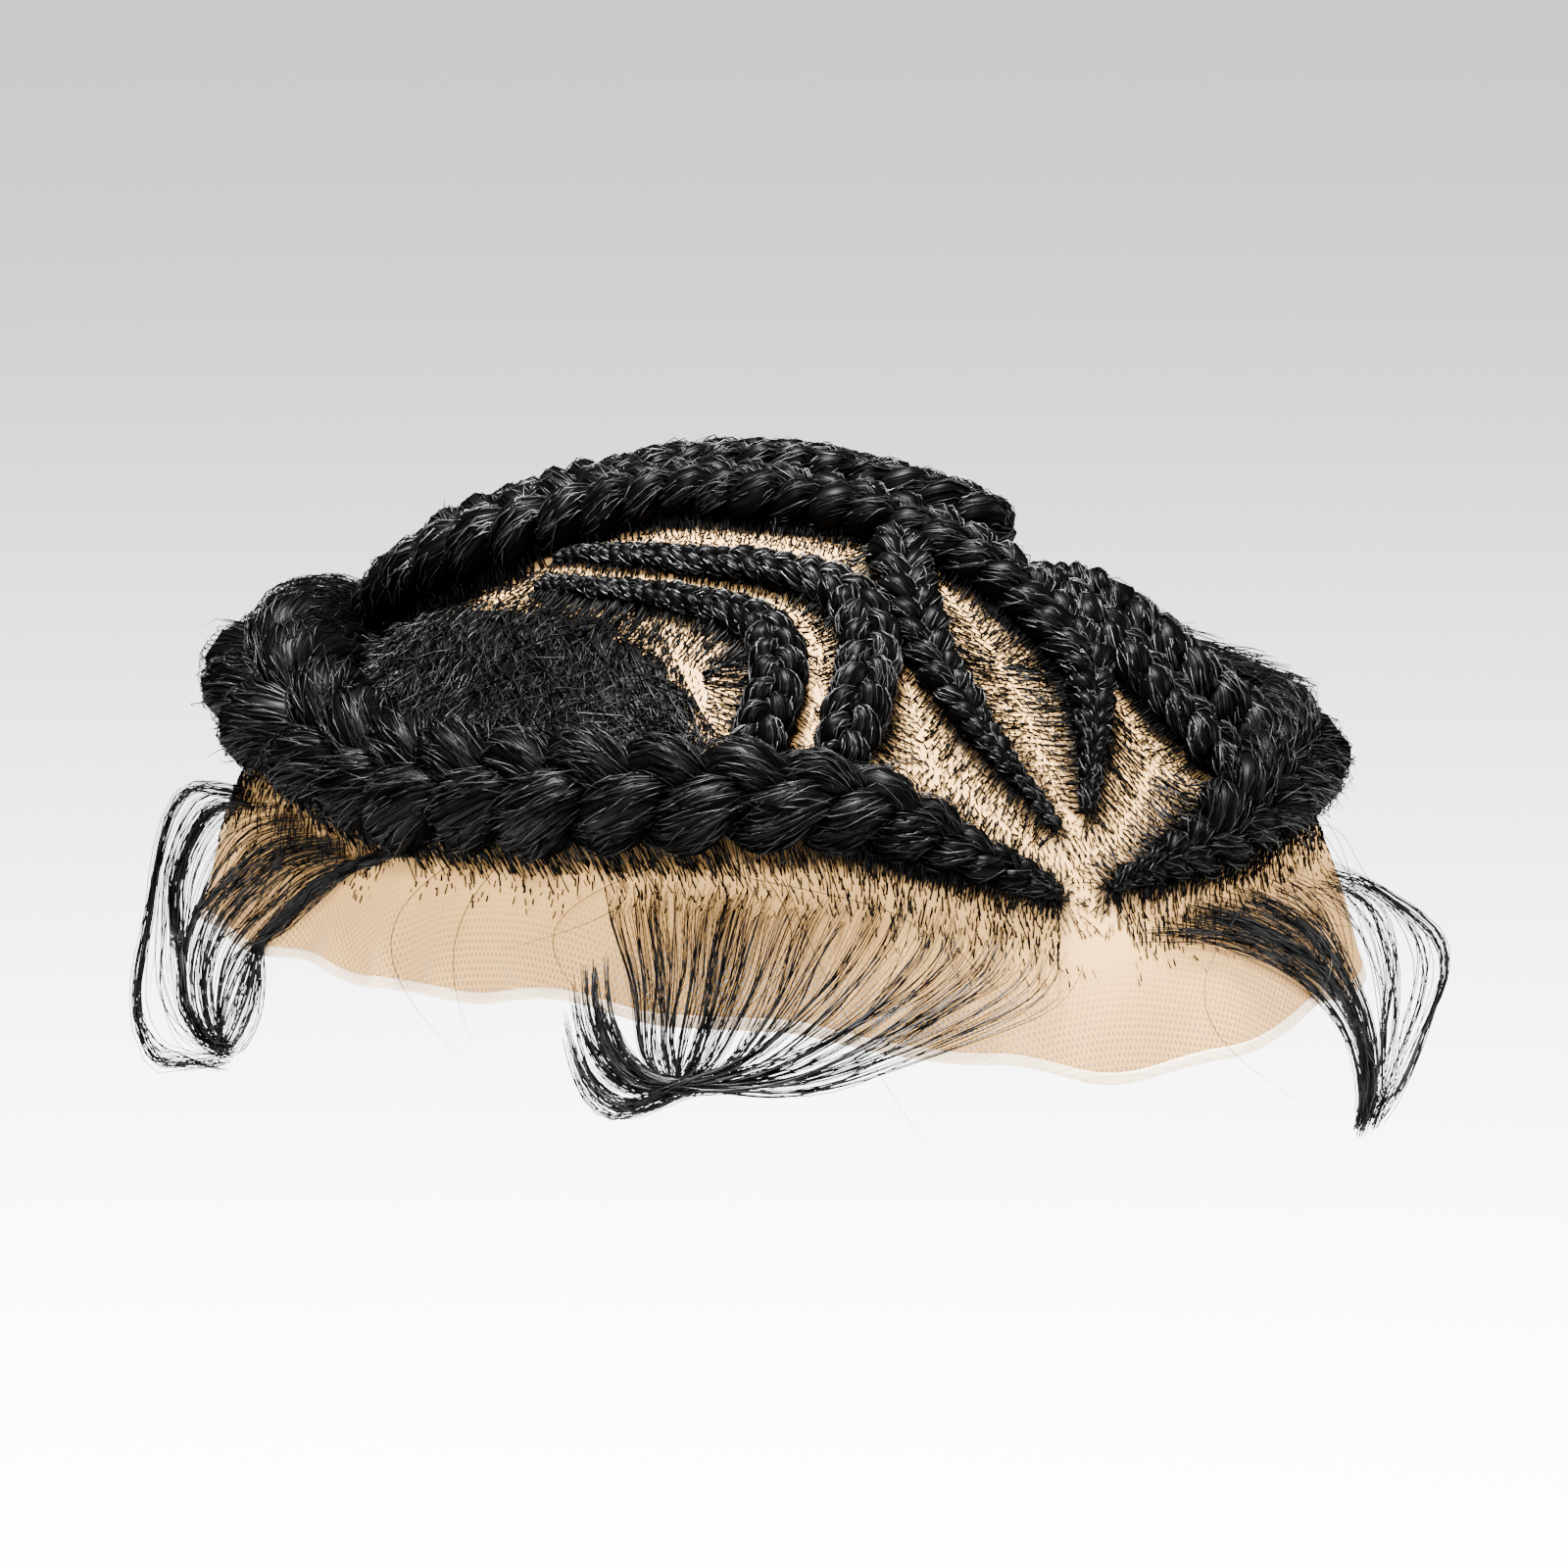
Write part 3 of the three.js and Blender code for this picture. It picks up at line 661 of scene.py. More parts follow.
def tapered(count, points, radius, root, tip):
    """Radii along hairs: fullest in the middle, with shares left at the root and the tip."""
    share = np.linspace(0, 1, points)
    profile = (root + (1 - root) * ease(share * 4)) * (1 - (1 - tip) * ease((share - 0.55) / 0.45))
    return np.broadcast_to(radius * profile, (count, points)).copy()


def crimp(rng, count, run):
    """Sideways and upward swing of crimped hairs at distances run along them."""
    wave = CRIMP_WAVE * rng.uniform(0.75, 1.35, (2, count, 1))
    start = rng.uniform(0, 2 * np.pi, (2, count, 1))
    swing = CRIMP_SWING * rng.uniform(0.4, 1.2, (2, count, 1))
    return swing * np.sin(2 * np.pi * run / wave + start)


# Plaited rows


def strand_paths(name, line, rng):
    """The three strands of a plait: middle line, frame and half sizes at each step."""
    rise = BRAIDS[name]["rise"]
    width = line["width"]
    pitch_per_width = SIDE_PITCH_PER_WIDTH if name in SIDE_BRAIDS else PITCH_PER_WIDTH
    pitch = np.maximum(pitch_per_width * width, PITCH_LEAST)
    phase = np.cumsum(line["step"] / (3 * pitch))
    run = np.arange(len(width)) * line["step"]
    closing = np.minimum(run, run[-1] - run)
    blunt = np.sqrt(ease((closing + 0.2) / (0.45 * width)))
    strands = []
    for third in range(3):
        turn = 2 * np.pi * (phase + third / 3)
        across = width * STRAND_SWAY * np.sin(turn) * line["stretch"]
        height = width * rise * (STRAND_MIDDLE + STRAND_LIFT * np.sin(2 * turn))
        path = over_lace(line["place"] + line["side"] * across[:, None], height)
        along = unit(np.gradient(path, axis=0))
        side = unit(np.cross(along, form_normal(line["place"])))
        uneven = rng.normal(1, STRAND_UNEVEN, int(2 * phase[-1]) + 3)
        uneven = np.interp(2 * phase, np.arange(len(uneven)), uneven)
        swell = (1 - STRAND_SWELL * np.cos(2 * turn)) * blunt * uneven
        strands.append({
            "path": path,
            "side": side,
            "up": np.cross(side, along),
            "half_width": width * STRAND_HALF_WIDTH * swell,
            "half_height": width * rise * STRAND_HALF_HEIGHT * swell,
            "phase": phase,
            "run": run,
        })
    return strands


def strand_skin(strand, rng):
    """The ridged skin of one strand, with round ends."""
    turns = strand["phase"][-1] - strand["phase"][0]
    rings = max(int(turns * SECTIONS_PER_TURN), 12)
    at = np.linspace(strand["phase"][0], strand["phase"][-1], rings)
    pick = np.clip(np.searchsorted(strand["phase"], at), 0, len(strand["phase"]) - 1)
    angle = 2 * np.pi * np.arange(STRAND_SIDES) / STRAND_SIDES
    knots = rng.normal(0, 1, (rings // 6 + 3, STRAND_SIDES))
    ridge = resample(knots, np.arange(len(knots)) * 6.0, np.arange(rings))
    scale = 1 + STRAND_RIDGE * ridge
    wide = strand["half_width"][pick, None] * np.cos(angle) * scale
    high = strand["half_height"][pick, None] * np.sin(angle) * scale
    skin = (
        strand["path"][pick, None]
        + wide[..., None] * strand["side"][pick, None]
        + high[..., None] * strand["up"][pick, None]
    )
    tips = strand["path"][[0, -1]]
    points = np.concatenate([skin.reshape(-1, 3), tips])
    last = rings * STRAND_SIDES
    here = np.arange(STRAND_SIDES)
    after = (here + 1) % STRAND_SIDES
    start = np.stack([here, after, np.full(STRAND_SIDES, last)], -1)
    end = np.stack([after, here, np.full(STRAND_SIDES, last + 1)], -1)
    end[:, :2] += last - STRAND_SIDES
    round_share = np.abs(2 * here / STRAND_SIDES - 1)
    run = strand["run"][pick, None] * HAIR_MAP_PER_MM
    coords = np.stack(np.broadcast_arrays(run, round_share), -1).reshape(-1, 2)
    coords = np.concatenate([coords, coords[[0, -1]]])
    return points, [tube_faces(rings, STRAND_SIDES), np.concatenate([start, end])], coords


def hidden_in(strand, points, station):
    """Whether points lie inside a strand, judged at the same step along the plait."""
    off = points - strand["path"][station]
    wide = (off * strand["side"][station]).sum(1) / np.maximum(strand["half_width"][station], 0.1)
    high = (off * strand["up"][station]).sum(1) / np.maximum(strand["half_height"][station], 0.1)
    return wide**2 + high**2 < STRAND_HIDDEN


def strand_fibres(strand, others, step, rng):
    """Short crimped fibres on one strand where the others leave it in sight, some standing off it."""
    area = np.pi * (strand["half_width"] + strand["half_height"]).sum() * step / 2
    scale = np.clip(strand["half_width"].mean() / FIBRE_FULL_AT, 0.45, 1)
    points = FIBRE_POINTS if scale > 0.9 else FIBRE_POINTS - 1
    count = int(FIBRES_PER_MM2 * area / scale**0.8)
    total = len(strand["run"]) - 1
    fly = rng.random(count) < FLYAWAY_SHARE * scale**2
    length = np.where(fly, rng.uniform(*FLYAWAY_LENGTH, count), rng.uniform(*FIBRE_LENGTH, count))
    length = length * scale / step
    length = np.minimum(length, total * 0.9)
    weight = strand["half_width"] + 0.6
    middle = rng.choice(total + 1, count, p=weight / weight.sum())
    start = np.clip(middle - length / 2, 0, total - length)
    share = np.linspace(0, 1, points)
    where = start[:, None] + share * length[:, None]
    low = np.minimum(where.astype(int), total - 1)
    part = (where - low)[..., None]

    def along(key):
        values = strand[key] if strand[key].ndim == 2 else strand[key][:, None]
        return values[low] * (1 - part) + values[low + 1] * part

    swing_side, swing_up = crimp(rng, count, where * step)
    stand = rng.uniform(-0.05, 0.4, (count, 1)) + 0.5 * swing_up
    stand = stand + rng.uniform(0, 0.4, (count, 1)) * np.sin(np.pi * share)
    stand = stand + (fly * rng.uniform(*FLYAWAY_STAND, count))[:, None] * ease((share - 0.3) / 0.7) ** 1.5
    stand = stand * scale**2
    wide = along("half_width")[..., 0] + stand
    high = along("half_height")[..., 0] + stand
    turn = (rng.normal(0, 2.6, (count, 1)) * (share - 0.5) + swing_side) * scale
    angle = rng.uniform(-0.3, math.pi + 0.3, count)[:, None] + turn / np.maximum(wide, 1.2)
    paths = (
        along("path")
        + along("side") * (wide * np.cos(angle))[..., None]
        + along("up") * (high * np.sin(angle))[..., None]
    )
    radii = tapered(count, points, FIBRE_RADIUS, root=0.5, tip=0.4)
    radii = radii * rng.uniform(0.7, 1.25, (count, 1))
    station = low[:, points // 2]
    seen = ~np.any([hidden_in(other, paths[:, points // 2], station) for other in others], axis=0)
    return hair_tubes(paths[seen], radii[seen], rng.random(count)[seen])


def plait(name, line, rng, mass, hair):
    """One row: the skins of its three strands, and the fibres on them."""
    strands = strand_paths(name, line, rng)
    chunks = [strand_skin(strand, rng) for strand in strands]
    for number, strand in enumerate(strands):
        others = strands[:number] + strands[number + 1:]
        chunks.append(strand_fibres(strand, others, line["step"], rng))
    piece = piece_from_chunks(name + "_plait", chunks, mass, mass, mass, hair)
    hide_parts(name)
    return piece


# Hair combed over the lace into the rows


def panel_curves(name, count):
    """A panel's parting, and its foot on the side braid."""
    rows = np.array(PANELS[name]["rows"], float)
    return smooth_line(rows[:, :2], count), smooth_line(rows[:, 2:], count)


def rival_edges(name, lines):
    """Places and half widths of all the other rows, and of the combed panels' partings."""
    places = [line["place"][::4] for other, line in lines.items() if other != name]
    halves = [line["width"][::4] / 2 for other, line in lines.items() if other != name]
    for panel in PANELS:
        parting, foot = panel_curves(panel, 80)
        ends = [np.linspace(parting[i], foot[i], 20) for i in (0, -1)]
        outline = np.concatenate([parting, *ends])
        places.append(outline)
        halves.append(np.full(len(outline), -PANEL_PARTING_OUT))
    return np.concatenate(places), np.concatenate(halves)


def comb_room(name, lines, sign):
    """How far combed hair runs out from a row's edge to its parting, at each step."""
    line = lines[name]
    rivals, halves = rival_edges(name, lines)
    pick = np.arange(len(line["place"]))[::4]
    own = line["place"][pick]
    room = np.zeros(len(own))
    open_yet = np.ones(len(own), bool)
    for out in np.arange(COMB_STEP, COMB_MOST, COMB_STEP):
        place = own + sign * (line["side"] * ((line["width"] / 2 + out) * line["stretch"])[:, None])[pick]
        gap = np.linalg.norm(place[:, None] - rivals[None], axis=2) - halves
        inside = np.linalg.norm(place, axis=1) < lace_at(angle_of(place))[0]
        open_yet &= (gap.min(1) > out + COMB_BARE) & inside
        room[open_yet] = out
    return np.interp(np.arange(len(line["place"])), pick, room)


def fringe_room(line, sign):
    """How far the fringe of short hairs runs out from a side braid past the hairline, at each step."""
    room = np.zeros(len(line["place"]))
    for out in np.arange(COMB_STEP, COMB_MOST, COMB_STEP):
        place = line["place"] + sign * line["side"] * ((line["width"] / 2 + out) * line["stretch"])[:, None]
        reach = np.linalg.norm(place, axis=1)
        hairline = lace_at(angle_of(place))[0]
        room[(reach > hairline - 6) & (reach < hairline + FRINGE_PAST)] = out
    return room


def root_grid(line, room, rng):
    """Knotted roots beside a row in ranks: steps along it and distances from its edge."""
    length = line["step"] * (len(room) - 1)
    ranks = np.arange(0.5, COMB_MOST, 1) * COMB_SPACING
    along, out = np.meshgrid(np.arange(0, length, COMB_SPACING), ranks)
    along = along + (np.arange(len(out))[:, None] % 2) * COMB_SPACING / 2
    along = (along + rng.normal(0, 0.16, along.shape)).ravel()
    out = (out + rng.normal(0, 0.14, out.shape)).ravel()
    station = np.clip((along / line["step"]).astype(int), 0, len(room) - 1)
    kept = out < room[station]
    return station[kept], np.maximum(out[kept], 0.1)


def dense_roots(line, room, per_mm2, rng):
    """Further roots close beside a row, without order."""
    near = np.minimum(room, COMB_DENSE_REACH)
    count = int(per_mm2 * near.sum() * line["step"])
    if count == 0:
        return np.zeros(0, int), np.zeros(0)
    station = rng.choice(len(room), count, p=near / near.sum())
    return station, near[station] * rng.random(count)


def laid_hairs(name, line, sign, station, out, length, radius, points, rng):
    """Hairs from roots in the lace towards the edge of a row, slanted along it."""
    count = len(station)
    total = len(line["place"]) - 1
    share = np.linspace(0, 1, points)
    slant = length * rng.normal(COMB_SLANT, 0.16, count) / line["step"]
    pick = np.clip(station[:, None] + slant[:, None] * share, 0, total).astype(int)
    reach = line["width"][pick] / 2 + out[:, None] - length[:, None] * share
    reach = reach + rng.normal(0, 0.12, (count, points)) * (share > 0)
    place = line["place"][pick] + sign * line["side"][pick] * (reach * line["stretch"][pick])[..., None]
    near = ease(1 - (out[:, None] - length[:, None] * share) / 2.5)
    height = 0.05 + (0.15 + 0.35 * rng.random((count, 1))) * ease(share * 2)
    height = height + line["width"][pick] * BRAIDS[name]["rise"] * 0.28 * near * share
    radii = np.interp(share, [0, 0.5, 1], [1.2, 1, 0.8]) * radius * rng.uniform(0.7, 1.35, (count, 1))
    return hair_tubes(over_lace(place, height), radii, rng.random(count))


def short_hairs(name, line, sign, station, out, full_far, rng):
    """Hairs beside a row: most near ones run right into it, most far ones show as short dashes."""
    full = rng.random(len(out)) < full_far + (1 - full_far) * ease(1 - out / COMB_FADE)
    whole = out + line["width"][station] * 0.14
    dash = rng.uniform(*DASH_LENGTH, len(out))
    chunks = []
    if full.any():
        picked = (station[full], out[full], whole[full])
        chunks.append(laid_hairs(name, line, sign, *picked, COMB_RADIUS, 3, rng))
    if not full.all():
        picked = (station[~full], out[~full], dash[~full])
        chunks.append(laid_hairs(name, line, sign, *picked, DASH_RADIUS, 2, rng))
    return chunks


def comb_hairs(name, lines, rng):
    """Hairs from the partings into both sides of one row."""
    line = lines[name]
    chunks = []
    for sign in (-1, 1):
        room = comb_room(name, lines, sign)
        roots = zip(root_grid(line, room, rng), dense_roots(line, room, COMB_DENSE_PER_MM2, rng))
        station, out = (np.concatenate(pair) for pair in roots)
        chunks += short_hairs(name, line, sign, station, out, COMB_FULL_FAR, rng)
    return chunks


def tip_hairs(name, lines, rng):
    """Hairs drawn into the thin start of a row from in front of it."""
    line = lines[name]
    rivals, halves = rival_edges(name, lines)
    count = TIP_HAIRS
    tip = line["place"][0]
    turn = rng.uniform(-1.9, 1.9, count)
    blunt = line["width"][0] / 3
    away = blunt + rng.uniform(0.6, TIP_REACH, count)
    ahead = -line["heading"][0] * np.cos(turn)[:, None] + line["side"][0] * np.sin(turn)[:, None]
    root = tip + ahead * away[:, None]
    gap = (np.linalg.norm(root[:, None] - rivals[None], axis=2) - halves).min(1)
    inside = np.linalg.norm(root, axis=1) < lace_at(angle_of(root))[0] + 5
    kept = (gap > (away - blunt) * 0.8) & inside
    root = root[kept]
    count = len(root)
    share = np.array([0, 1])
    end = tip + line["heading"][0] * rng.uniform(0, 2.5, (count, 1))
    dash = rng.uniform(*DASH_LENGTH, count)
    run = np.where(away[kept] < 2.5, away[kept], dash)
    heading = unit(end - root + rng.normal(0, 0.8, (count, 2)))
    place = root[:, None] + heading[:, None] * run[:, None, None] * share[:, None]
    height = np.broadcast_to(0.05 + 0.3 * share, (count, 2))
    radii = np.array([1.2, 0.8]) * COMB_RADIUS * rng.uniform(0.7, 1.3, (count, 1))
    return [hair_tubes(over_lace(place, height), radii, rng.random(count))]


def fringe_hairs(name, lines, rng):
    """Short hairs along the hairline below a side braid, down to single knots that thin out."""
    line = lines[name]
    middle = len(line["place"]) // 2
    sign = np.sign(np.dot(line["side"][middle], line["place"][middle]))
    room = fringe_room(line, sign)
    station, out = root_grid(line, room, rng)
    kept = rng.random(len(out)) < 1.25 - 0.8 * out / np.maximum(room[station], 4)
    dense_station, dense_out = dense_roots(line, room, FRINGE_DENSE_PER_MM2, rng)
    station = np.concatenate([station[kept], dense_station])
    out = np.concatenate([out[kept], dense_out])
    return short_hairs(name, line, sign, station, out, 0, rng)


def panel_place(parting, foot, along, across):
    """Place on a panel at shares along its parting and across it."""
    row = along * (len(parting) - 1)
    low = np.clip(row.astype(int), 0, len(parting) - 2)
    part = (row - low)[..., None]
    start = parting[low] * (1 - part) + parting[low + 1] * part
    end = foot[low] * (1 - part) + foot[low + 1] * part
    return start + (end - start) * across[..., None]


def panel_height(name, along, across):
    """Height of a panel over the lace: thin at the parting and the ends, climbing onto the side braid."""
    inner = np.clip(across, 0, 1)
    depth = PANEL_EDGE + (PANELS[name]["depth"] - PANEL_EDGE) * ease(inner * 0.9 + 0.1)
    ends = ease(np.minimum(along, 1 - along) / PANEL_END_RUN + 0.08)
    closing = 1 - 0.7 * ease((across - 1.05) / (PANEL_REACH - 1.05))
    return ((PANEL_SEAT + depth) + PANELS[name]["climb"] * ease((across - 0.6) / 0.5)) * ends * closing


def panel_dashes(name, parting, foot, width, length, rng):
    """Roots and short ends of hair along a panel's parting and round its front end."""
    along, across = np.meshgrid(
        np.arange(-2, length + PANEL_DASH_BAND + 3, COMB_SPACING),
        np.arange(-PANEL_PARTING_OUT - 3, width, COMB_SPACING))
    along = (along + rng.normal(0, 0.25, along.shape)).ravel()
    across = (across + rng.normal(0, 0.25, across.shape)).ravel()
    banded = (across < PANEL_DASH_BAND) | (along > length - PANEL_DASH_BAND)
    kept = banded & (rng.random(len(along)) < 0.85)
    more_along = rng.uniform(0.4 * length, length + PANEL_FRONT_REACH, PANEL_FRONT_HAIRS)
    more_across = rng.uniform(-PANEL_FRONT_BAND, width, PANEL_FRONT_HAIRS)
    outside = (more_across < 1) | (more_along > length - 1)
    past = np.maximum(-more_across / PANEL_FRONT_BAND, (more_along - length) / PANEL_FRONT_REACH)
    outside = outside & (rng.random(PANEL_FRONT_HAIRS) > past)
    run = np.concatenate([rng.uniform(0.9, 2.2, kept.sum()), rng.uniform(1.4, 3.2, outside.sum())])
    along = np.concatenate([along[kept], more_along[outside]])[:, None]
    across = np.concatenate([across[kept], more_across[outside]])[:, None]
    count = len(along)
    run = run[:, None] * np.array([0, 1])
    lean = rng.normal(0.5, 0.25, (count, 1))
    place_along = (along - lean * run) / length
    place_across = (across + run) / width
    place = panel_place(parting, foot, place_along, place_across)
    padded = (place_along < 1) & (place_across > 0)
    on_pad = np.where(padded, panel_height(name, place_along, place_across), 0)
    height = on_pad + 0.08 + 0.3 * rng.random((count, 1)) * np.array([0.2, 1])
    radii = np.array([1.15, 0.85]) * COMB_RADIUS * rng.uniform(0.8, 1.4, (count, 1))
    return hair_tubes(over_lace(place, height), radii, rng.random(count))


def panel_pad(name, parting, foot, material):
    """The closed pad under a panel's hairs: a grid with a wall, laid on the lace."""
    deselect_all()
    along_steps, across_steps = PANEL_PAD_STEPS
    bpy.ops.mesh.primitive_grid_add(
        x_subdivisions=along_steps, y_subdivisions=across_steps, size=1, location=(0.5, 0.5, 0))
    bpy.ops.object.transform_apply(location=True, rotation=False, scale=False)
    bpy.ops.object.mode_set(mode="EDIT")
    bpy.ops.mesh.select_all(action="SELECT")
    bpy.ops.mesh.extrude_region_move(TRANSFORM_OT_translate={"value": (0, 0, 1)})
    bpy.ops.object.mode_set(mode="OBJECT")
    pad = bpy.context.object
    along, across, top = vertex_points(pad).T
    across = PANEL_INSET + across * (PANEL_REACH - PANEL_INSET)
    height = 0.05 + panel_height(name, along, across) * np.where(top > 0.5, 1, 0)
    set_vertices(pad, over_lace(panel_place(parting, foot, along, across), height))
    map_by_vertex(pad, np.stack([across * 3, along * 4], -1))
    make_active(pad)
    bpy.ops.object.mode_set(mode="EDIT")
    bpy.ops.mesh.select_all(action="SELECT")
    bpy.ops.mesh.normals_make_consistent(inside=False)
    bpy.ops.object.mode_set(mode="OBJECT")
    bpy.ops.object.shade_smooth()
    pad.data.materials.append(material)
    return pad


def panel_hairs(name, parting, foot, width, length, rng):
    """Crimped hairs combed over a panel's pad, as a brighter and a duller share."""
    count = int(PANEL_HAIRS_PER_MM2 * width * length * PANEL_REACH)
    share = np.linspace(0, 1, PANEL_HAIR_POINTS)
    first = -PANEL_ROOTS_OUT / width
    edge = rng.random((count, 1)) < PANEL_EDGE_SHARE
    root = np.where(edge, rng.uniform(first, 0.08, (count, 1)), rng.uniform(0, 1.05, (count, 1)))
    tip = np.minimum(root + rng.uniform(*PANEL_HAIR_LENGTH, (count, 1)) / width, PANEL_REACH + 0.08)
    swing_side, swing_up = crimp(rng, count, share * width * (tip - root))
    across = root + (tip - root) * share
    begin = rng.uniform(-0.02, 1 + PANEL_ROOTS_AHEAD / length, (count, 1))
    lean = rng.normal(-0.18, 0.2, (count, 1))
    lean = lean + 0.22 * np.sin(19 * begin + 5 * root) * np.sin(11 * root + 7 * begin)
    lean = lean + 0.45 * ease((begin - 0.78) / 0.2)
    along = begin - lean * (across - root) + 1.5 * swing_side / length
    place = panel_place(parting, foot, along, across)
    stand = rng.uniform(0, 1.3, (count, 1)) + 1.5 * swing_up
    fly = (rng.random((count, 1)) < 2 * FLYAWAY_SHARE) * rng.uniform(*FLYAWAY_STAND, (count, 1))
    height = panel_height(name, along, across) + stand + fly * ease((share - 0.3) / 0.7)
    seated = np.where(edge, ease((across - root) / 0.14 + 0.1), 1)
    height = ROOT_LIFT + (height - ROOT_LIFT) * seated
    radii = tapered(count, PANEL_HAIR_POINTS, FIBRE_RADIUS, root=0.6, tip=0.5)
    radii = radii * rng.uniform(0.7, 1.25, (count, 1))
    paths = over_lace(place, height)
    seeds = rng.random(count)
    bright = slice(0, int(count * PANEL_BRIGHT_SHARE))
    dull = slice(int(count * PANEL_BRIGHT_SHARE), count)
    return [hair_tubes(paths[part], radii[part], seeds[part]) for part in (bright, dull)]


def combed_panel(name, rng, mass, hair, loose_hair, flat_hair):
    """Hair combed from a parting into a side braid: a pad, and crimped hairs over it."""
    parting, foot = panel_curves(name, PANEL_CURVE_POINTS)
    pad = panel_pad(name, parting, foot, mass)
    width = np.linalg.norm(over_lace(foot) - over_lace(parting), axis=1).mean()
    length = lengths_along(over_lace((parting + foot) / 2))[-1]
    chunks = panel_hairs(name, parting, foot, width, length, rng)
    chunks.append(panel_dashes(name, parting, foot, width, length, rng))
    hairs = piece_from_chunks(name + "_hair", chunks, hair, loose_hair, flat_hair)
    join_into(hairs, pad)
    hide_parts(name)
    return hairs


# Loose locks


def strand_curves(strands, points):
    """Strands resampled to the same number of points, even along each."""
    curves = []
    for rows in strands:
        dense = smooth_line(rows, 200)
        run = lengths_along(over_lace(dense[:, :2], dense[:, 2]))
        curves.append(resample(dense, run, np.linspace(0, run[-1], points)))
    return np.array(curves)


def between(curves, position):
    """Curves at positions between the listed ones, counted from 0, given for each hair and point."""
    low = np.clip(position.astype(int), 0, len(curves) - 2)
    part = (position - low)[..., None]
    point = np.arange(curves.shape[1])
    return curves[low, point] * (1 - part) + curves[low + 1, point] * part


def spaced(rng, count, last):
    """Places from 0 to last, one at random in each of count equal steps."""
    return (np.arange(count) + rng.random(count)) / count * last


def fan_positions(rng, centres, count, points, last, spread, loose_share):
    """Where hairs run between a lock's strands: apart at the roots, in clumps further on."""
    share = np.linspace(0, 1, points)
    member = rng.integers(0, len(centres), count)
    wide = rng.uniform(*spread, len(centres))[member][:, None]
    apart = rng.normal(0, 1, (count, 1)) * wide * (1 - ease(share / 0.55))
    apart = apart + rng.normal(0, 0.015, (count, 1))
    position = centres[member][:, None] + apart
    loose = rng.random(count) < loose_share
    position[loose] = rng.uniform(0, last, (loose.sum(), 1))
    position = last - np.abs(last - np.abs(position))
    return np.clip(position, 0, last - 0.001), member


def lock_hairs(rng, curves, member, spread, radius):
    """Hairs along curves [left, back, lift]: each clump sways by itself and keeps together."""
    count, points, _ = curves.shape
    share = np.linspace(0, 1, points)
    clumps = member.max() + 1
    wave = rng.uniform(0.6, 2.0, (clumps, 2, 1))
    start = rng.uniform(0, 2 * np.pi, (clumps, 2, 1))
    sway = rng.normal(0, 0.8, (clumps, 2, 1)) * np.sin(2 * np.pi * wave * share + start)
    sway = sway * ease(share * 3)
    aside = rng.normal(0, 0.3, (count, 2, 1)) * spread + sway[member]
    heading = unit(np.gradient(curves[..., :2], axis=1))
    side = np.stack([heading[..., 1], -heading[..., 0]], -1)
    place = curves[..., :2] + side * aside[:, 0][..., None]
    lift = np.maximum(curves[..., 2] + 0.6 * aside[:, 1], 0.15)
    radii = tapered(count, points, radius, root=0.7, tip=0.75) * rng.uniform(0.7, 1.3, (count, 1))
    return hair_tubes(over_lace(place, lift), radii, rng.random(count))


def trimmed(curves, starts, ends):
    """Curves cut to shares of their length, with the same number of points."""
    share = np.linspace(0, 1, curves.shape[1])
    cuts = zip(curves, starts, ends)
    return np.stack([resample(one, share, start + share * (end - start)) for one, start, end in cuts])


def front_swoop(rng, material):
    """The lock laid across the front: roots that fan in to one place, then curved tails."""
    count = SWOOP_HAIRS
    points = LOCK_POINTS
    roots = strand_curves(SWOOP_ROOTS, points)
    tails = strand_curves(SWOOP_TAILS, points // 2)
    last = len(roots) - 1
    centres = spaced(rng, SWOOP_CLUMPS, last)
    fan_at, member = fan_positions(rng, centres, count, points, last, SWOOP_SPREAD, SWOOP_LOOSE_SHARE)
    tail_centres = rng.uniform(0, len(tails) - 1, SWOOP_CLUMPS)
    tail_at = tail_centres[member][:, None] + rng.normal(0, 0.05, (count, 1)) + np.zeros(points // 2)
    tail = between(tails, np.clip(tail_at, 0, len(tails) - 1.001))
    tail_ends = rng.uniform(0.5, 1, SWOOP_CLUMPS)[member] * rng.uniform(0.9, 1, count)
    tail = trimmed(tail, np.zeros(count), tail_ends)
    fan = trimmed(between(roots, fan_at), rng.uniform(0, 0.14, count), np.ones(count))
    fan[:, 0, 2] = ROOT_LIFT
    curves = np.concatenate([fan[:, :-1], tail], axis=1)
    joint = points / curves.shape[1]
    share = np.linspace(0, 1, curves.shape[1])
    near = np.exp(-(((share - joint) / 0.06) ** 2))[:, None]
    for _ in range(3):
        smooth = (np.roll(curves, 1, 1) + np.roll(curves, -1, 1) + curves) / 3
        curves = curves + (smooth - curves) * near
    chunk = lock_hairs(rng, curves, member, SWOOP_APART, LOCK_HAIR_RADIUS)
    piece = piece_from_chunks("front_swoop_hair", [chunk], material)
    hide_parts("front_swoop_lock")
    return piece


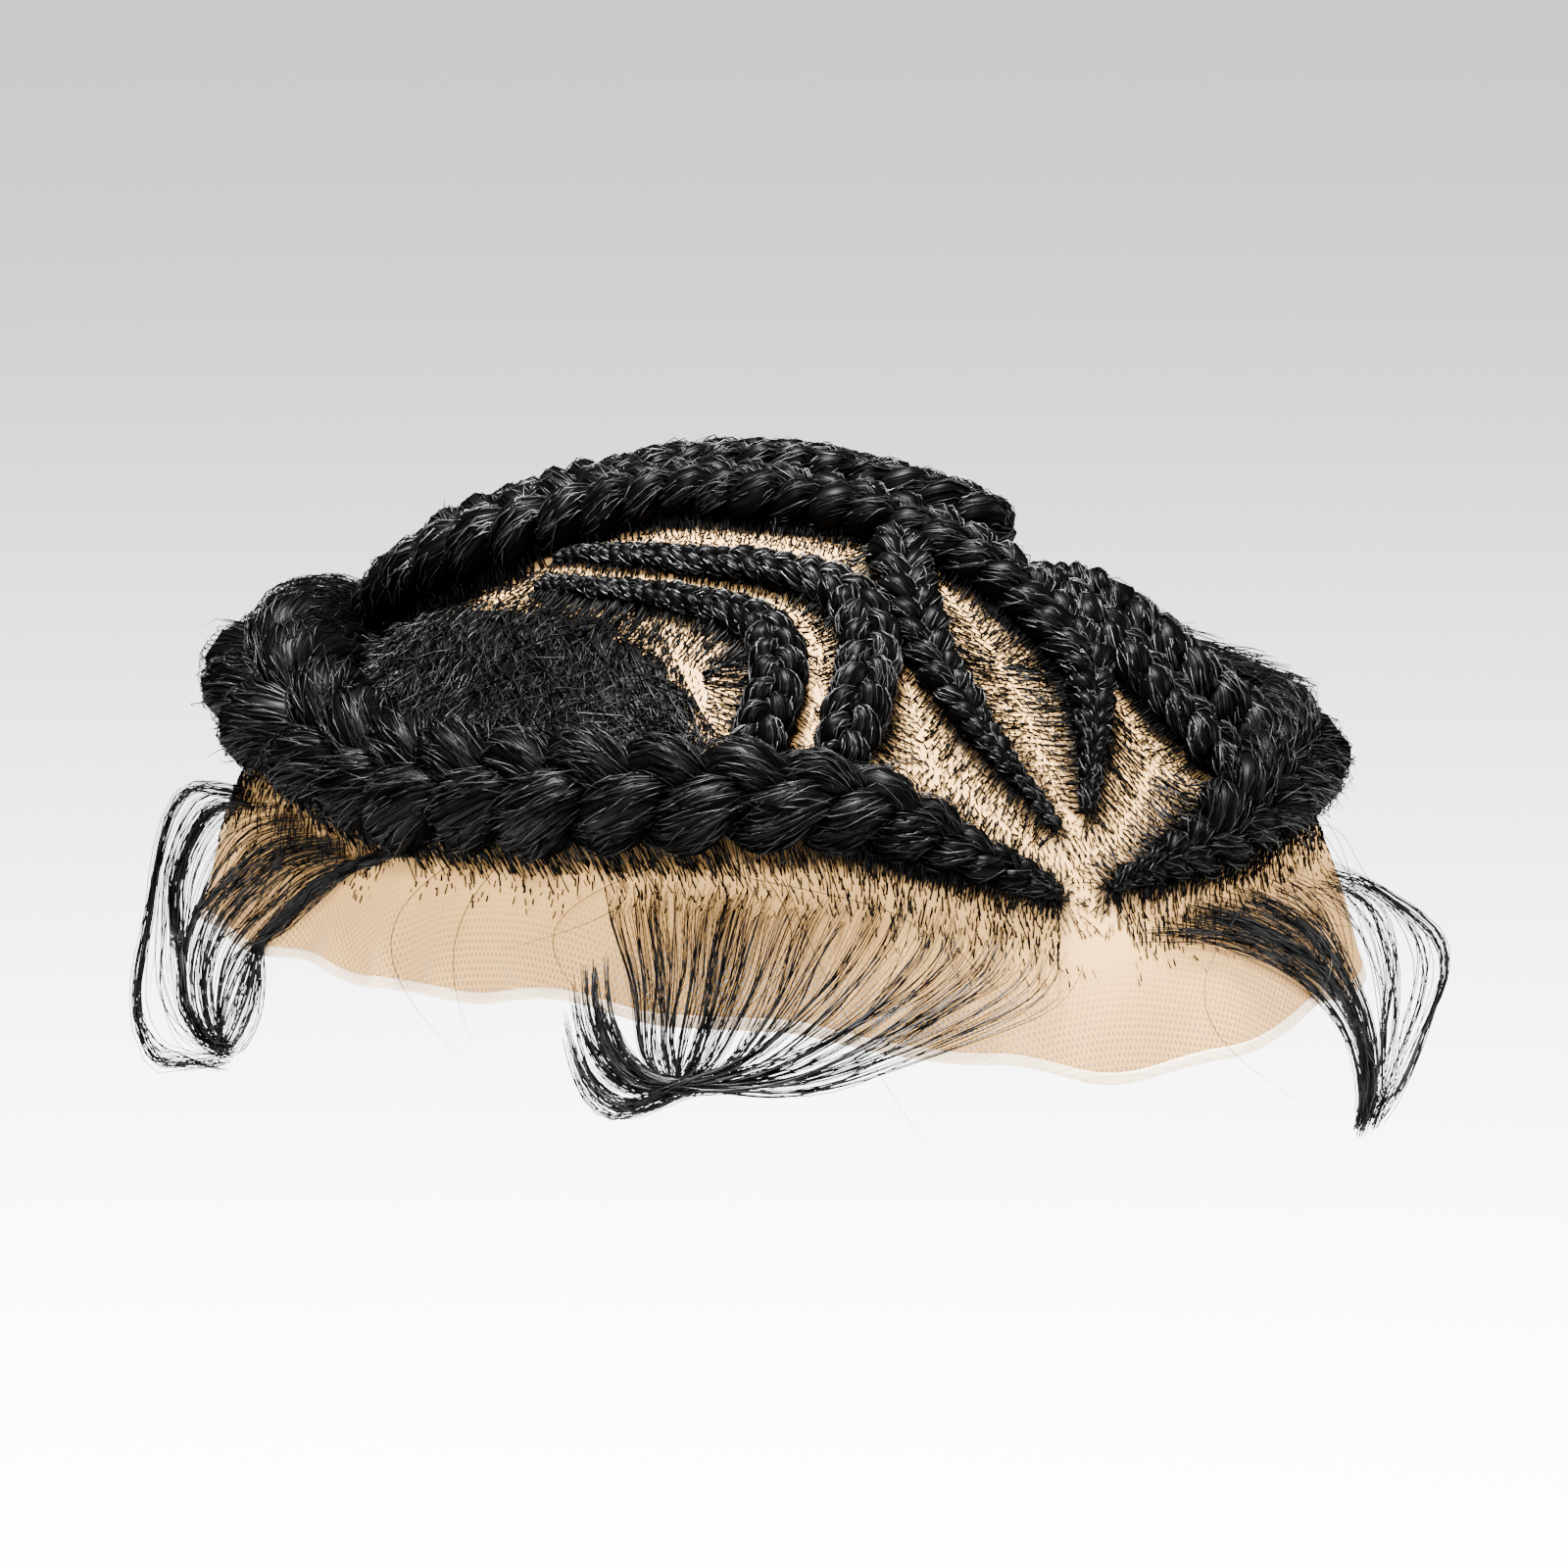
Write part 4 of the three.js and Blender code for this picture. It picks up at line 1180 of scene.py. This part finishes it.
def temple_lock(name, rng, material):
    """A lock whose clumps follow the listed strands, with more of them where it lies on the lace."""
    lock = TEMPLE_LOCKS[name]
    count = lock["hairs"]
    curves = strand_curves(lock["strands"], LOCK_POINTS)
    last = len(curves) - 1
    on_lace = spaced(rng, TEMPLE_CLUMPS, TEMPLE_LAID)
    spare = rng.uniform(TEMPLE_LAID, last, TEMPLE_SPARE_CLUMPS)
    centres = np.concatenate([lock["gathers"], on_lace, spare])
    position, member = fan_positions(
        rng, centres, count, LOCK_POINTS, last, TEMPLE_SPREAD, TEMPLE_LOOSE_SHARE)
    ends = np.where(rng.random(len(centres)) < 0.25, rng.uniform(0.6, 0.95, len(centres)), 1)[member]
    starts = rng.uniform(0, 0.1, count)
    ends = ends * rng.uniform(0.92, 1, count)
    picked = trimmed(between(curves, position), starts, ends)
    picked[:, 0, 2] = ROOT_LIFT
    chunk = lock_hairs(rng, picked, member, TEMPLE_APART, LOCK_HAIR_RADIUS)
    piece = piece_from_chunks(name + "_hair", [chunk], material)
    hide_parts(name)
    return piece


def stray_hairs(rng, material):
    """Single fine hairs that hang loose from the hairline, over and below the cut edge."""
    share = np.linspace(0, 1, STRAY_POINTS)
    angle = rng.uniform(*STRAY_ANGLES, (STRAY_COUNT, 1)) * rng.choice([-1, 1], (STRAY_COUNT, 1))
    hairline, edge = lace_at(angle[:, 0])[:2]
    reach = hairline[:, None] + 4 + (edge - hairline + rng.uniform(-12, 12, STRAY_COUNT))[:, None] * share
    bow = rng.normal(0, 9, (STRAY_COUNT, 1))
    swing = bow * np.sin(np.pi * share) + rng.normal(0, 9, (STRAY_COUNT, 1)) * share**2
    rise = rng.uniform(1, 6, (STRAY_COUNT, 1))
    lift = 0.3 + rise * np.sin(np.pi * share * rng.uniform(0.5, 1, (STRAY_COUNT, 1)))
    place = at_angle(angle + swing, reach)
    radii = tapered(STRAY_COUNT, STRAY_POINTS, STRAY_RADIUS, root=0.9, tip=0.5)
    chunk = hair_tubes(over_lace(place, lift), radii, rng.random(STRAY_COUNT))
    return piece_from_chunks("stray_hairs", [chunk], material)


def row_gaps(place, lines):
    """Distance of each place from the edge of each row."""
    gaps = []
    for line in lines.values():
        away = np.linalg.norm(place[:, None] - line["place"][None, ::6], axis=2)
        gaps.append((away - line["width"][None, ::6] / 2).min(1))
    return np.array(gaps)


def parting_knots(lines, rng):
    """Places of knots on the bare lace between the rows and the panels, on a staggered grid."""
    steps = np.arange(-PARTING_KNOT_REACH, PARTING_KNOT_REACH, PARTING_KNOT_SPACING)
    left, back = np.meshgrid(steps, steps)
    left = left + (np.arange(len(steps))[:, None] % 2) * PARTING_KNOT_SPACING / 2
    place = np.stack([left, back], -1).reshape(-1, 2)
    place = place + rng.normal(0, 0.15, place.shape)
    place = place[np.linalg.norm(place, axis=1) < lace_at(angle_of(place))[0]]
    place = place[row_gaps(place, lines).min(0) > PARTING_KNOT_GAP]
    for name in PANELS:
        parting, foot = panel_curves(name, PANEL_CURVE_POINTS)
        along, across = np.meshgrid(np.linspace(0, 1, 60), np.linspace(0.1, 1, 14))
        hidden = panel_place(parting, foot, along.ravel(), across.ravel())
        away = np.linalg.norm(place[:, None] - hidden[None], axis=2).min(1)
        place = place[away > PARTING_KNOT_GAP]
    return place


def hair_knots(lines, rng, material):
    """Short dark ends of knotted hairs in the net, on the partings and in rows below the hairline."""
    places = []
    for row in range(KNOT_ROWS):
        angle = np.arange(-180, 180, math.degrees(KNOT_SPACING / 100)) + (row % 2) * 0.45
        angle = angle[rng.random(len(angle)) < 0.6 - 0.2 * row]
        angle = (angle + rng.normal(0, 0.2, len(angle)) + 180) % 360 - 180
        reach = lace_at(angle)[0] + FRINGE_PAST - 0.5 + KNOT_SPACING * 0.9 * row
        places.append(at_angle(angle, reach + rng.normal(0, 0.3, len(angle))))
    places.append(parting_knots(lines, rng))
    place = np.concatenate(places)
    count = len(place)
    share = np.array([-0.5, 0.5])
    heading = unit(rng.normal(0, 0.35, (count, 2)) - place / 100)
    run = place[:, None] + heading[:, None] * share[:, None] * rng.uniform(*KNOT_LENGTH, (count, 1, 1))
    height = np.full((count, 2), KNOT_HEIGHT)
    radii = np.array([1, 0.75]) * rng.uniform(*KNOT_RADIUS, (count, 1))
    chunk = hair_tubes(over_lace(run, height), radii, rng.random(count))
    return piece_from_chunks("hair_knots", [chunk], material)


# Pieces modelled with operators


def deselect_all():
    if bpy.context.mode != "OBJECT":
        bpy.ops.object.mode_set(mode="OBJECT")
    bpy.ops.object.select_all(action="DESELECT")


def make_active(piece):
    deselect_all()
    piece.select_set(True)
    bpy.context.view_layer.objects.active = piece


def apply_modifier(piece, kind, **values):
    make_active(piece)
    bpy.ops.object.modifier_add(type=kind)
    modifier = piece.modifiers[-1]
    for name, value in values.items():
        setattr(modifier, name, value)
    bpy.ops.object.modifier_apply(modifier=modifier.name)


def vertex_points(piece):
    flat = np.zeros(len(piece.data.vertices) * 3, np.float32)
    piece.data.vertices.foreach_get("co", flat)
    return flat.reshape(-1, 3).astype(float)


def set_vertices(piece, points):
    piece.data.vertices.foreach_set("co", (points * MM).astype(np.float32).ravel())
    piece.data.update()


def map_by_vertex(piece, coords):
    """Map coordinates of the piece, from one pair for each vertex."""
    layer = piece.data.uv_layers.active or piece.data.uv_layers.new(name="UVMap")
    layer.name = "UVMap"
    corners = np.zeros(len(piece.data.loops), np.int32)
    piece.data.loops.foreach_get("vertex_index", corners)
    layer.data.foreach_set("uv", coords[corners].astype(np.float32).ravel())


def recalculate_outside(piece):
    """Faces turned so that they look away from the heart of the cap form."""
    make_active(piece)
    face = piece.data.polygons[0]
    if face.normal.dot(face.center - Vector(HEART * MM)) < 0:
        bpy.ops.object.mode_set(mode="EDIT")
        bpy.ops.mesh.select_all(action="SELECT")
        bpy.ops.mesh.flip_normals()
        bpy.ops.object.mode_set(mode="OBJECT")


def join_into(piece, *others):
    deselect_all()
    for other in others:
        other.select_set(True)
    piece.select_set(True)
    bpy.context.view_layer.objects.active = piece
    bpy.ops.object.join()


def ring_sheet(name, levels, filled):
    """A flat round sheet with a ring of edges at each level, extruded outwards ring by ring."""
    deselect_all()
    fill = "TRIFAN" if filled else "NOTHING"
    bpy.ops.mesh.primitive_circle_add(vertices=CAP_SECTORS, radius=levels[0], fill_type=fill)
    sheet = bpy.context.object
    sheet.name = name
    sheet.data.name = name
    bpy.ops.object.mode_set(mode="EDIT")
    bpy.ops.mesh.select_mode(type="EDGE")
    bpy.ops.mesh.select_all(action="SELECT")
    if filled:
        bpy.ops.mesh.region_to_loop()
    for before, after in zip(levels, levels[1:]):
        bpy.ops.mesh.extrude_edges_move()
        bpy.ops.transform.resize(value=(after / before, after / before, 1))
    bpy.ops.object.mode_set(mode="OBJECT")
    return sheet


def cut_edge_wave(angle):
    """Hand-cut waviness of the lace's edge, in mm of reach."""
    turn = np.radians(angle)
    return 0.7 * np.sin(9 * turn + 0.6) + 0.5 * np.sin(17 * turn + 2)


def drape_levels(sheet, proud):
    """Lays a flat ring sheet on the cap: level 1 is the hairline and level 2 the cut edge."""
    flat = vertex_points(sheet)[:, :2]
    level = np.linalg.norm(flat, axis=1)
    angle = angle_of(flat)
    hairline, edge = lace_at(angle)[:2]
    margin = np.clip(level - 1, 0, 1)
    reach = hairline * np.minimum(level, 1) + (edge - hairline + cut_edge_wave(angle)) * margin
    place = at_angle(angle, reach)
    turn = np.radians(angle)
    ripple = 0.5 * np.sin(turn * 21 + 3 * margin) * margin + 0.3 * np.sin(turn * 34) * margin
    fold = sum(
        one["height"] * margin * np.maximum(0, 1 - np.abs(angle - one["angle"]) / one["half_width"])
        for one in LACE_FOLDS
    )
    set_vertices(sheet, over_lace(place, ripple + fold + proud))
    map_by_vertex(sheet, place * LACE_MAP_PER_MM)
    attribute = sheet.data.attributes.new("margin", "FLOAT", "POINT")
    attribute.data.foreach_set("value", margin.astype(np.float32))
    recalculate_outside(sheet)
    return place


def hair_and_shade_darkness(place, lines):
    """How dark the lace is painted at each place, for dense hair roots and the shade beside the rows: 0 on
    partings and bare lace, 1 beside the rows.
    """
    gaps = np.sort(row_gaps(place, lines), axis=0)
    hairline = lace_at(angle_of(place))[0]
    to_parting = (gaps[1] - gaps[0]) / 2
    to_hairline = (hairline + FRINGE_PAST - 5 - np.linalg.norm(place, axis=1)) * 0.8
    hair_and_shade = ease((np.minimum(to_parting, to_hairline) - 1) / 4)
    return hair_and_shade * ease((COMB_DENSE_REACH - gaps[0]) / 2)


def lace_cap(lines, material):
    """The net cap with its bare margin, one wall thick."""
    cap_levels = np.linspace(0.03, 1, CAP_RINGS)
    margin_levels = 1 + np.linspace(0, 1, MARGIN_RINGS + 1)[1:]
    cap = ring_sheet("lace_net_cap", [*cap_levels, *margin_levels], True)
    place = drape_levels(cap, 0.0)
    # Painted shade: the lace is darkened beside the rows, for dense hair roots and their shade
    hair_and_shade = cap.data.attributes.new("hair_and_shade", "FLOAT", "POINT")
    hair_and_shade.data.foreach_set("value", hair_and_shade_darkness(place, lines).astype(np.float32))
    apply_modifier(cap, "SOLIDIFY", thickness=NET_THICKNESS * MM, offset=-1)
    bpy.ops.object.shade_smooth()
    cap.data.materials.append(material)
    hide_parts("lace_base")
    return cap


def lace_hem(material):
    """The sealed strip along the cut edge."""
    start = 2 - HEM_WIDTH / MARGIN_WIDTH
    hem = ring_sheet("lace_hem", np.linspace(start, 2.0, 4), False)
    drape_levels(hem, HEM_PROUD)
    apply_modifier(hem, "SOLIDIFY", thickness=HEM_THICKNESS * MM, offset=-1)
    apply_modifier(hem, "BEVEL", width=HEM_ROUND * MM, segments=2)
    bpy.ops.object.shade_smooth()
    hem.data.materials.append(material)
    return hem


# Finishes


def add_node(tree, kind, **settings):
    node = tree.nodes.new(kind)
    for name, value in settings.items():
        setattr(node, name, value)
    return node


def fill_socket(tree, socket, value):
    """Links a socket to another one, or sets its plain value."""
    if isinstance(value, bpy.types.NodeSocket):
        tree.links.new(value, socket)
    else:
        socket.default_value = value


def set_inputs(tree, node, **values):
    """Fills a node's inputs by name, with _ for a space."""
    for name, value in values.items():
        fill_socket(tree, node.inputs[name.replace("_", " ")], value)


def maths(tree, operation, *values):
    """A maths node whose inputs are sockets or plain numbers."""
    node = add_node(tree, "ShaderNodeMath", operation=operation)
    for socket, value in zip(node.inputs, values):
        fill_socket(tree, socket, value)
    return node.outputs[0]


def map_range(tree, value, **limits):
    node = add_node(tree, "ShaderNodeMapRange")
    set_inputs(tree, node, Value=value, **limits)
    return node.outputs["Result"]


def mix_colours(tree, factor, first, second):
    node = add_node(tree, "ShaderNodeMix", data_type="RGBA")
    set_inputs(tree, node, Factor=factor, A=first, B=second)
    return node.outputs["Result"]


def noise_pattern(tree, place, **values):
    node = add_node(tree, "ShaderNodeTexNoise")
    set_inputs(tree, node, Vector=place, **values)
    return node.outputs["Fac"]


def map_axes(tree):
    """The two axes of a piece's own map."""
    uv = add_node(tree, "ShaderNodeUVMap", uv_map="UVMap")
    split = add_node(tree, "ShaderNodeSeparateXYZ")
    tree.links.new(uv.outputs["UV"], split.inputs[0])
    return split.outputs["X"], split.outputs["Y"]


def new_group(name, inputs, outputs):
    """A shader node group with its input and output nodes."""
    group = bpy.data.node_groups.new(name, "ShaderNodeTree")
    for socket, kind, value in inputs:
        made = group.interface.new_socket(socket, in_out="INPUT", socket_type=kind)
        made.default_value = value
    for socket, kind in outputs:
        group.interface.new_socket(socket, in_out="OUTPUT", socket_type=kind)
    return group, add_node(group, "NodeGroupInput"), add_node(group, "NodeGroupOutput")


def hair_streaks_group():
    """Tone and relief that run along hair: the map's first axis lies along it."""
    group, given, result = new_group(
        "hair_streaks",
        [
            ("Along Scale", "NodeSocketFloat", STREAK_ALONG),
            ("Across Scale", "NodeSocketFloat", STREAK_ACROSS),
            ("Dark", "NodeSocketColor", BLACK),
            ("Light", "NodeSocketColor", BLACK),
            ("Gloss Most", "NodeSocketFloat", 1.0),
        ],
        [
            ("Color", "NodeSocketColor"),
            ("Roughness", "NodeSocketFloat"),
            ("Gloss", "NodeSocketFloat"),
            ("Height", "NodeSocketFloat"),
        ],
    )
    along, across = map_axes(group)
    place = add_node(group, "ShaderNodeCombineXYZ")
    along = maths(group, "MULTIPLY", along, given.outputs["Along Scale"])
    across = maths(group, "MULTIPLY", across, given.outputs["Across Scale"])
    set_inputs(group, place, X=along, Y=across)
    streak = noise_pattern(group, place.outputs[0], Scale=1.0, Detail=3.0, Distortion=0.8)
    tone = map_range(group, streak, From_Min=0.35, From_Max=0.72)
    colour = mix_colours(group, tone, given.outputs["Dark"], given.outputs["Light"])
    roughness = maths(group, "MULTIPLY_ADD", streak, 0.3, 0.18)
    gloss = map_range(group, streak, From_Min=0.4, From_Max=0.75, To_Max=given.outputs["Gloss Most"])
    set_inputs(group, result, Color=colour, Roughness=roughness, Gloss=gloss, Height=streak)
    return group


def net_mesh_group():
    """Round holes on a triangular grid, at the pitch of the net."""
    group, given, result = new_group(
        "net_mesh",
        [("Pitch", "NodeSocketFloat", NET_PITCH), ("Hole", "NodeSocketFloat", NET_HOLE)],
        [("Hole Mask", "NodeSocketFloat"), ("Height", "NodeSocketFloat")],
    )
    across, along = map_axes(group)
    tall_pitch = maths(group, "MULTIPLY", given.outputs["Pitch"], math.sqrt(3))
    across = maths(group, "DIVIDE", across, given.outputs["Pitch"])
    along = maths(group, "DIVIDE", along, tall_pitch)

    def to_nearest(shift):
        x = maths(group, "SUBTRACT", maths(group, "FRACT", maths(group, "ADD", across, shift)), 0.5)
        y = maths(group, "SUBTRACT", maths(group, "FRACT", maths(group, "ADD", along, shift)), 0.5)
        y = maths(group, "MULTIPLY", y, math.sqrt(3))
        square = maths(group, "ADD", maths(group, "MULTIPLY", x, x), maths(group, "MULTIPLY", y, y))
        return maths(group, "SQRT", square)

    nearest = maths(group, "MINIMUM", to_nearest(0.0), to_nearest(0.5))
    inner = maths(group, "SUBTRACT", given.outputs["Hole"], NET_HOLE_SOFT)
    outer = maths(group, "ADD", given.outputs["Hole"], NET_HOLE_SOFT)
    mask = add_node(group, "ShaderNodeMapRange", interpolation_type="SMOOTHSTEP")
    set_inputs(group, mask, Value=nearest, From_Min=inner, From_Max=outer, To_Min=1.0, To_Max=0.0)
    set_inputs(group, result, Hole_Mask=mask.outputs["Result"], Height=nearest)
    return group


def new_material(name):
    material = bpy.data.materials.new(name)
    material.use_nodes = True
    return material, material.node_tree, material.node_tree.nodes["Principled BSDF"]


def place_group(tree, group, **values):
    """A node group in a material, with its own input values."""
    node = add_node(tree, "ShaderNodeGroup", node_tree=group)
    set_inputs(tree, node, **values)
    return node


def add_bump(tree, shader, height, strength, distance):
    bump = add_node(tree, "ShaderNodeBump")
    set_inputs(tree, bump, Strength=strength, Distance=distance, Height=height)
    tree.links.new(bump.outputs["Normal"], shader.inputs["Normal"])


def hair_finish(name, streaks):
    """Black hair: nearly dull all over, with single hairs under a glossy coat."""
    look = HAIR_FINISHES[name]
    material, tree, shader = new_material(name)
    tone = place_group(tree, streaks, Dark=look["dark"], Light=look["light"], Gloss_Most=look["gloss"])
    set_inputs(
        tree, shader,
        Base_Color=tone.outputs["Color"],
        Roughness=tone.outputs["Roughness"],
        Coat_Weight=tone.outputs["Gloss"],
        Coat_Roughness=HAIR_COAT_ROUGHNESS,
        Coat_IOR=HAIR_COAT_IOR,
        Specular_IOR_Level=HAIR_SPECULAR,
    )
    if look["bump"]:
        add_bump(tree, shader, tone.outputs["Height"], 1.0, look["bump"])
    return material


def lace_finish(net):
    """Tan net: painted shade in its holes, a richer tint painted for the lit margin, painted black beside
    the rows for dense hair and its shade, and open towards the cut edge.
    """
    material, tree, shader = new_material("tan_lace_net")
    mesh = place_group(tree, net)
    margin = add_node(tree, "ShaderNodeAttribute", attribute_name="margin").outputs["Fac"]
    hair_and_shade = add_node(tree, "ShaderNodeAttribute", attribute_name="hair_and_shade").outputs["Fac"]
    place = add_node(tree, "ShaderNodeTexCoord").outputs["Object"]
    cloud = noise_pattern(tree, place, Scale=38.0, Detail=2.0)
    thread = mix_colours(tree, cloud, THREAD_DARK, THREAD_LIGHT)
    # Painted light: towards the cut edge the thread goes to the tint of the lit margin
    lit_margin_colour = mix_colours(tree, maths(tree, "MULTIPLY", margin, 0.9), thread, LIT_MARGIN_TINT)
    shown = map_range(tree, margin, From_Min=0.3, From_Max=0.8, To_Min=0.16, To_Max=0.75)
    hole_shade = maths(tree, "MULTIPLY", mesh.outputs["Hole Mask"], shown)
    shaded = mix_colours(tree, hole_shade, lit_margin_colour, HOLE_SHADE)
    open_net = map_range(tree, margin, From_Min=0.3, From_Max=0.75, To_Max=0.28)
    gone = maths(tree, "MULTIPLY", mesh.outputs["Hole Mask"], open_net)
    # Beside the rows the colour goes to painted black, for dense hair roots and the shade there
    set_inputs(
        tree, shader,
        Base_Color=mix_colours(tree, hair_and_shade, shaded, HAIR_AND_SHADE_BLACK),
        Alpha=maths(tree, "SUBTRACT", 1.0, gone),
        Roughness=0.75,
        Specular_IOR_Level=0.2,
    )
    add_bump(tree, shader, mesh.outputs["Height"], 0.3, NET_RELIEF)
    return material


def hem_finish(net):
    """The paler sealed strip, whose holes are nearly filled."""
    material, tree, shader = new_material("sealed_lace_hem")
    mesh = place_group(tree, net, Hole=HEM_HOLE)
    tint = mix_colours(tree, mesh.outputs["Hole Mask"], HEM_TINT, HEM_HOLE_TINT)
    set_inputs(tree, shader, Base_Color=tint, Roughness=0.45, Alpha=0.8)
    add_bump(tree, shader, mesh.outputs["Height"], 0.4, NET_RELIEF)
    return material


def floor_finish():
    material, tree, shader = new_material("pale_floor")
    grain = add_node(tree, "ShaderNodeTexNoise")
    set_inputs(tree, grain, Scale=3.0)
    tint = mix_colours(tree, grain.outputs["Fac"], *FLOOR_TINTS)
    set_inputs(
        tree, shader, Base_Color=tint, Roughness=0.8, Emission_Color=WHITE, Emission_Strength=FLOOR_GLOW)
    return material


# Stage


def aim(thing, target):
    thing.rotation_euler = (target - thing.location).to_track_quat("-Z", "Y").to_euler()


def set_camera():
    turn = math.radians(VIEW_AZIMUTH)
    tilt = math.radians(VIEW_ELEVATION)
    back = Vector((math.sin(turn) * math.cos(tilt), -math.cos(turn) * math.cos(tilt), math.sin(tilt)))
    lens = bpy.data.cameras.new("camera")
    lens.sensor_width = SENSOR_WIDTH
    lens.lens = SENSOR_WIDTH * VIEW_DISTANCE / VIEW_WIDTH
    lens.clip_start = 0.05
    lens.clip_end = 60
    camera = new_object("camera", lens)
    camera.location = VIEW_TARGET + back * VIEW_DISTANCE
    aim(camera, VIEW_TARGET)
    bpy.context.scene.camera = camera


def add_light(name, location, size, power):
    lamp = bpy.data.lights.new(name, "AREA")
    lamp.shape = "DISK"
    lamp.size = size
    lamp.energy = power
    light = new_object(name, lamp)
    light.location = location
    aim(light, VIEW_TARGET)


def set_stage():
    world = bpy.data.worlds.new("studio")
    world.use_nodes = True
    background = world.node_tree.nodes["Background"]
    background.inputs["Color"].default_value = WHITE
    background.inputs["Strength"].default_value = STUDIO_STRENGTH
    bpy.context.scene.world = world
    for name, light in LIGHTS.items():
        add_light(name, **light)
    deselect_all()
    bpy.ops.mesh.primitive_plane_add(size=FLOOR_SIZE, location=(0, 0, FLOOR_HEIGHT))
    floor = bpy.context.object
    floor.name = "floor"
    floor.data.materials.append(floor_finish())


# The hairpiece


def draws(*stream):
    """A random generator that gives the same numbers on each run."""
    return np.random.default_rng([SEED, *stream])


def braided_hair(lines, mass, hair, side_hair, flat_hair):
    """The plaits, the hairs drawn into them from the partings, and the fringe below the side braids."""
    pieces = []
    combed = []
    fringe = []
    for number, name in enumerate(BRAIDS):
        own_hair = side_hair if name in SIDE_BRAIDS else hair
        pieces.append(plait(name, lines[name], draws(PLAIT_DRAWS, number), mass, own_hair))
        combed += comb_hairs(name, lines, draws(COMB_DRAWS, number))
        combed += tip_hairs(name, lines, draws(TIP_DRAWS, number))
    for number, name in enumerate(SIDE_BRAIDS):
        fringe += fringe_hairs(name, lines, draws(FRINGE_DRAWS, number))
    pieces.append(piece_from_chunks("parting_hairs", combed, flat_hair))
    pieces.append(piece_from_chunks("hairline_hairs", fringe, flat_hair))
    return pieces


def build():
    streaks = hair_streaks_group()
    net = net_mesh_group()
    finishes = {name: hair_finish(name, streaks) for name in HAIR_FINISHES}
    hair = finishes["black_crimped_hair"]
    side_hair = finishes["black_side_braid_hair"]
    loose_hair = finishes["black_loose_hair"]
    flat_hair = finishes["black_laid_hair"]
    mass = finishes["black_hair_mass"]
    lines = {name: braid_line(name) for name in BRAIDS}
    in_lace = [lace_cap(lines, lace_finish(net)), lace_hem(hem_finish(net))]
    in_hair = braided_hair(lines, mass, hair, side_hair, flat_hair)
    for number, name in enumerate(PANELS):
        panel_draws = draws(PANEL_DRAWS, number)
        in_hair.append(combed_panel(name, panel_draws, mass, side_hair, loose_hair, flat_hair))
    in_hair.append(front_swoop(draws(SWOOP_DRAWS), loose_hair))
    for number, name in enumerate(TEMPLE_LOCKS):
        in_hair.append(temple_lock(name, draws(TEMPLE_DRAWS + number), loose_hair))
    in_hair.append(stray_hairs(draws(STRAY_DRAWS), loose_hair))
    in_hair.append(hair_knots(lines, draws(KNOT_DRAWS), flat_hair))
    for piece in in_lace:
        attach(piece, "root")
    for piece in in_hair:
        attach(piece, "root")


set_camera()
set_stage()
build()
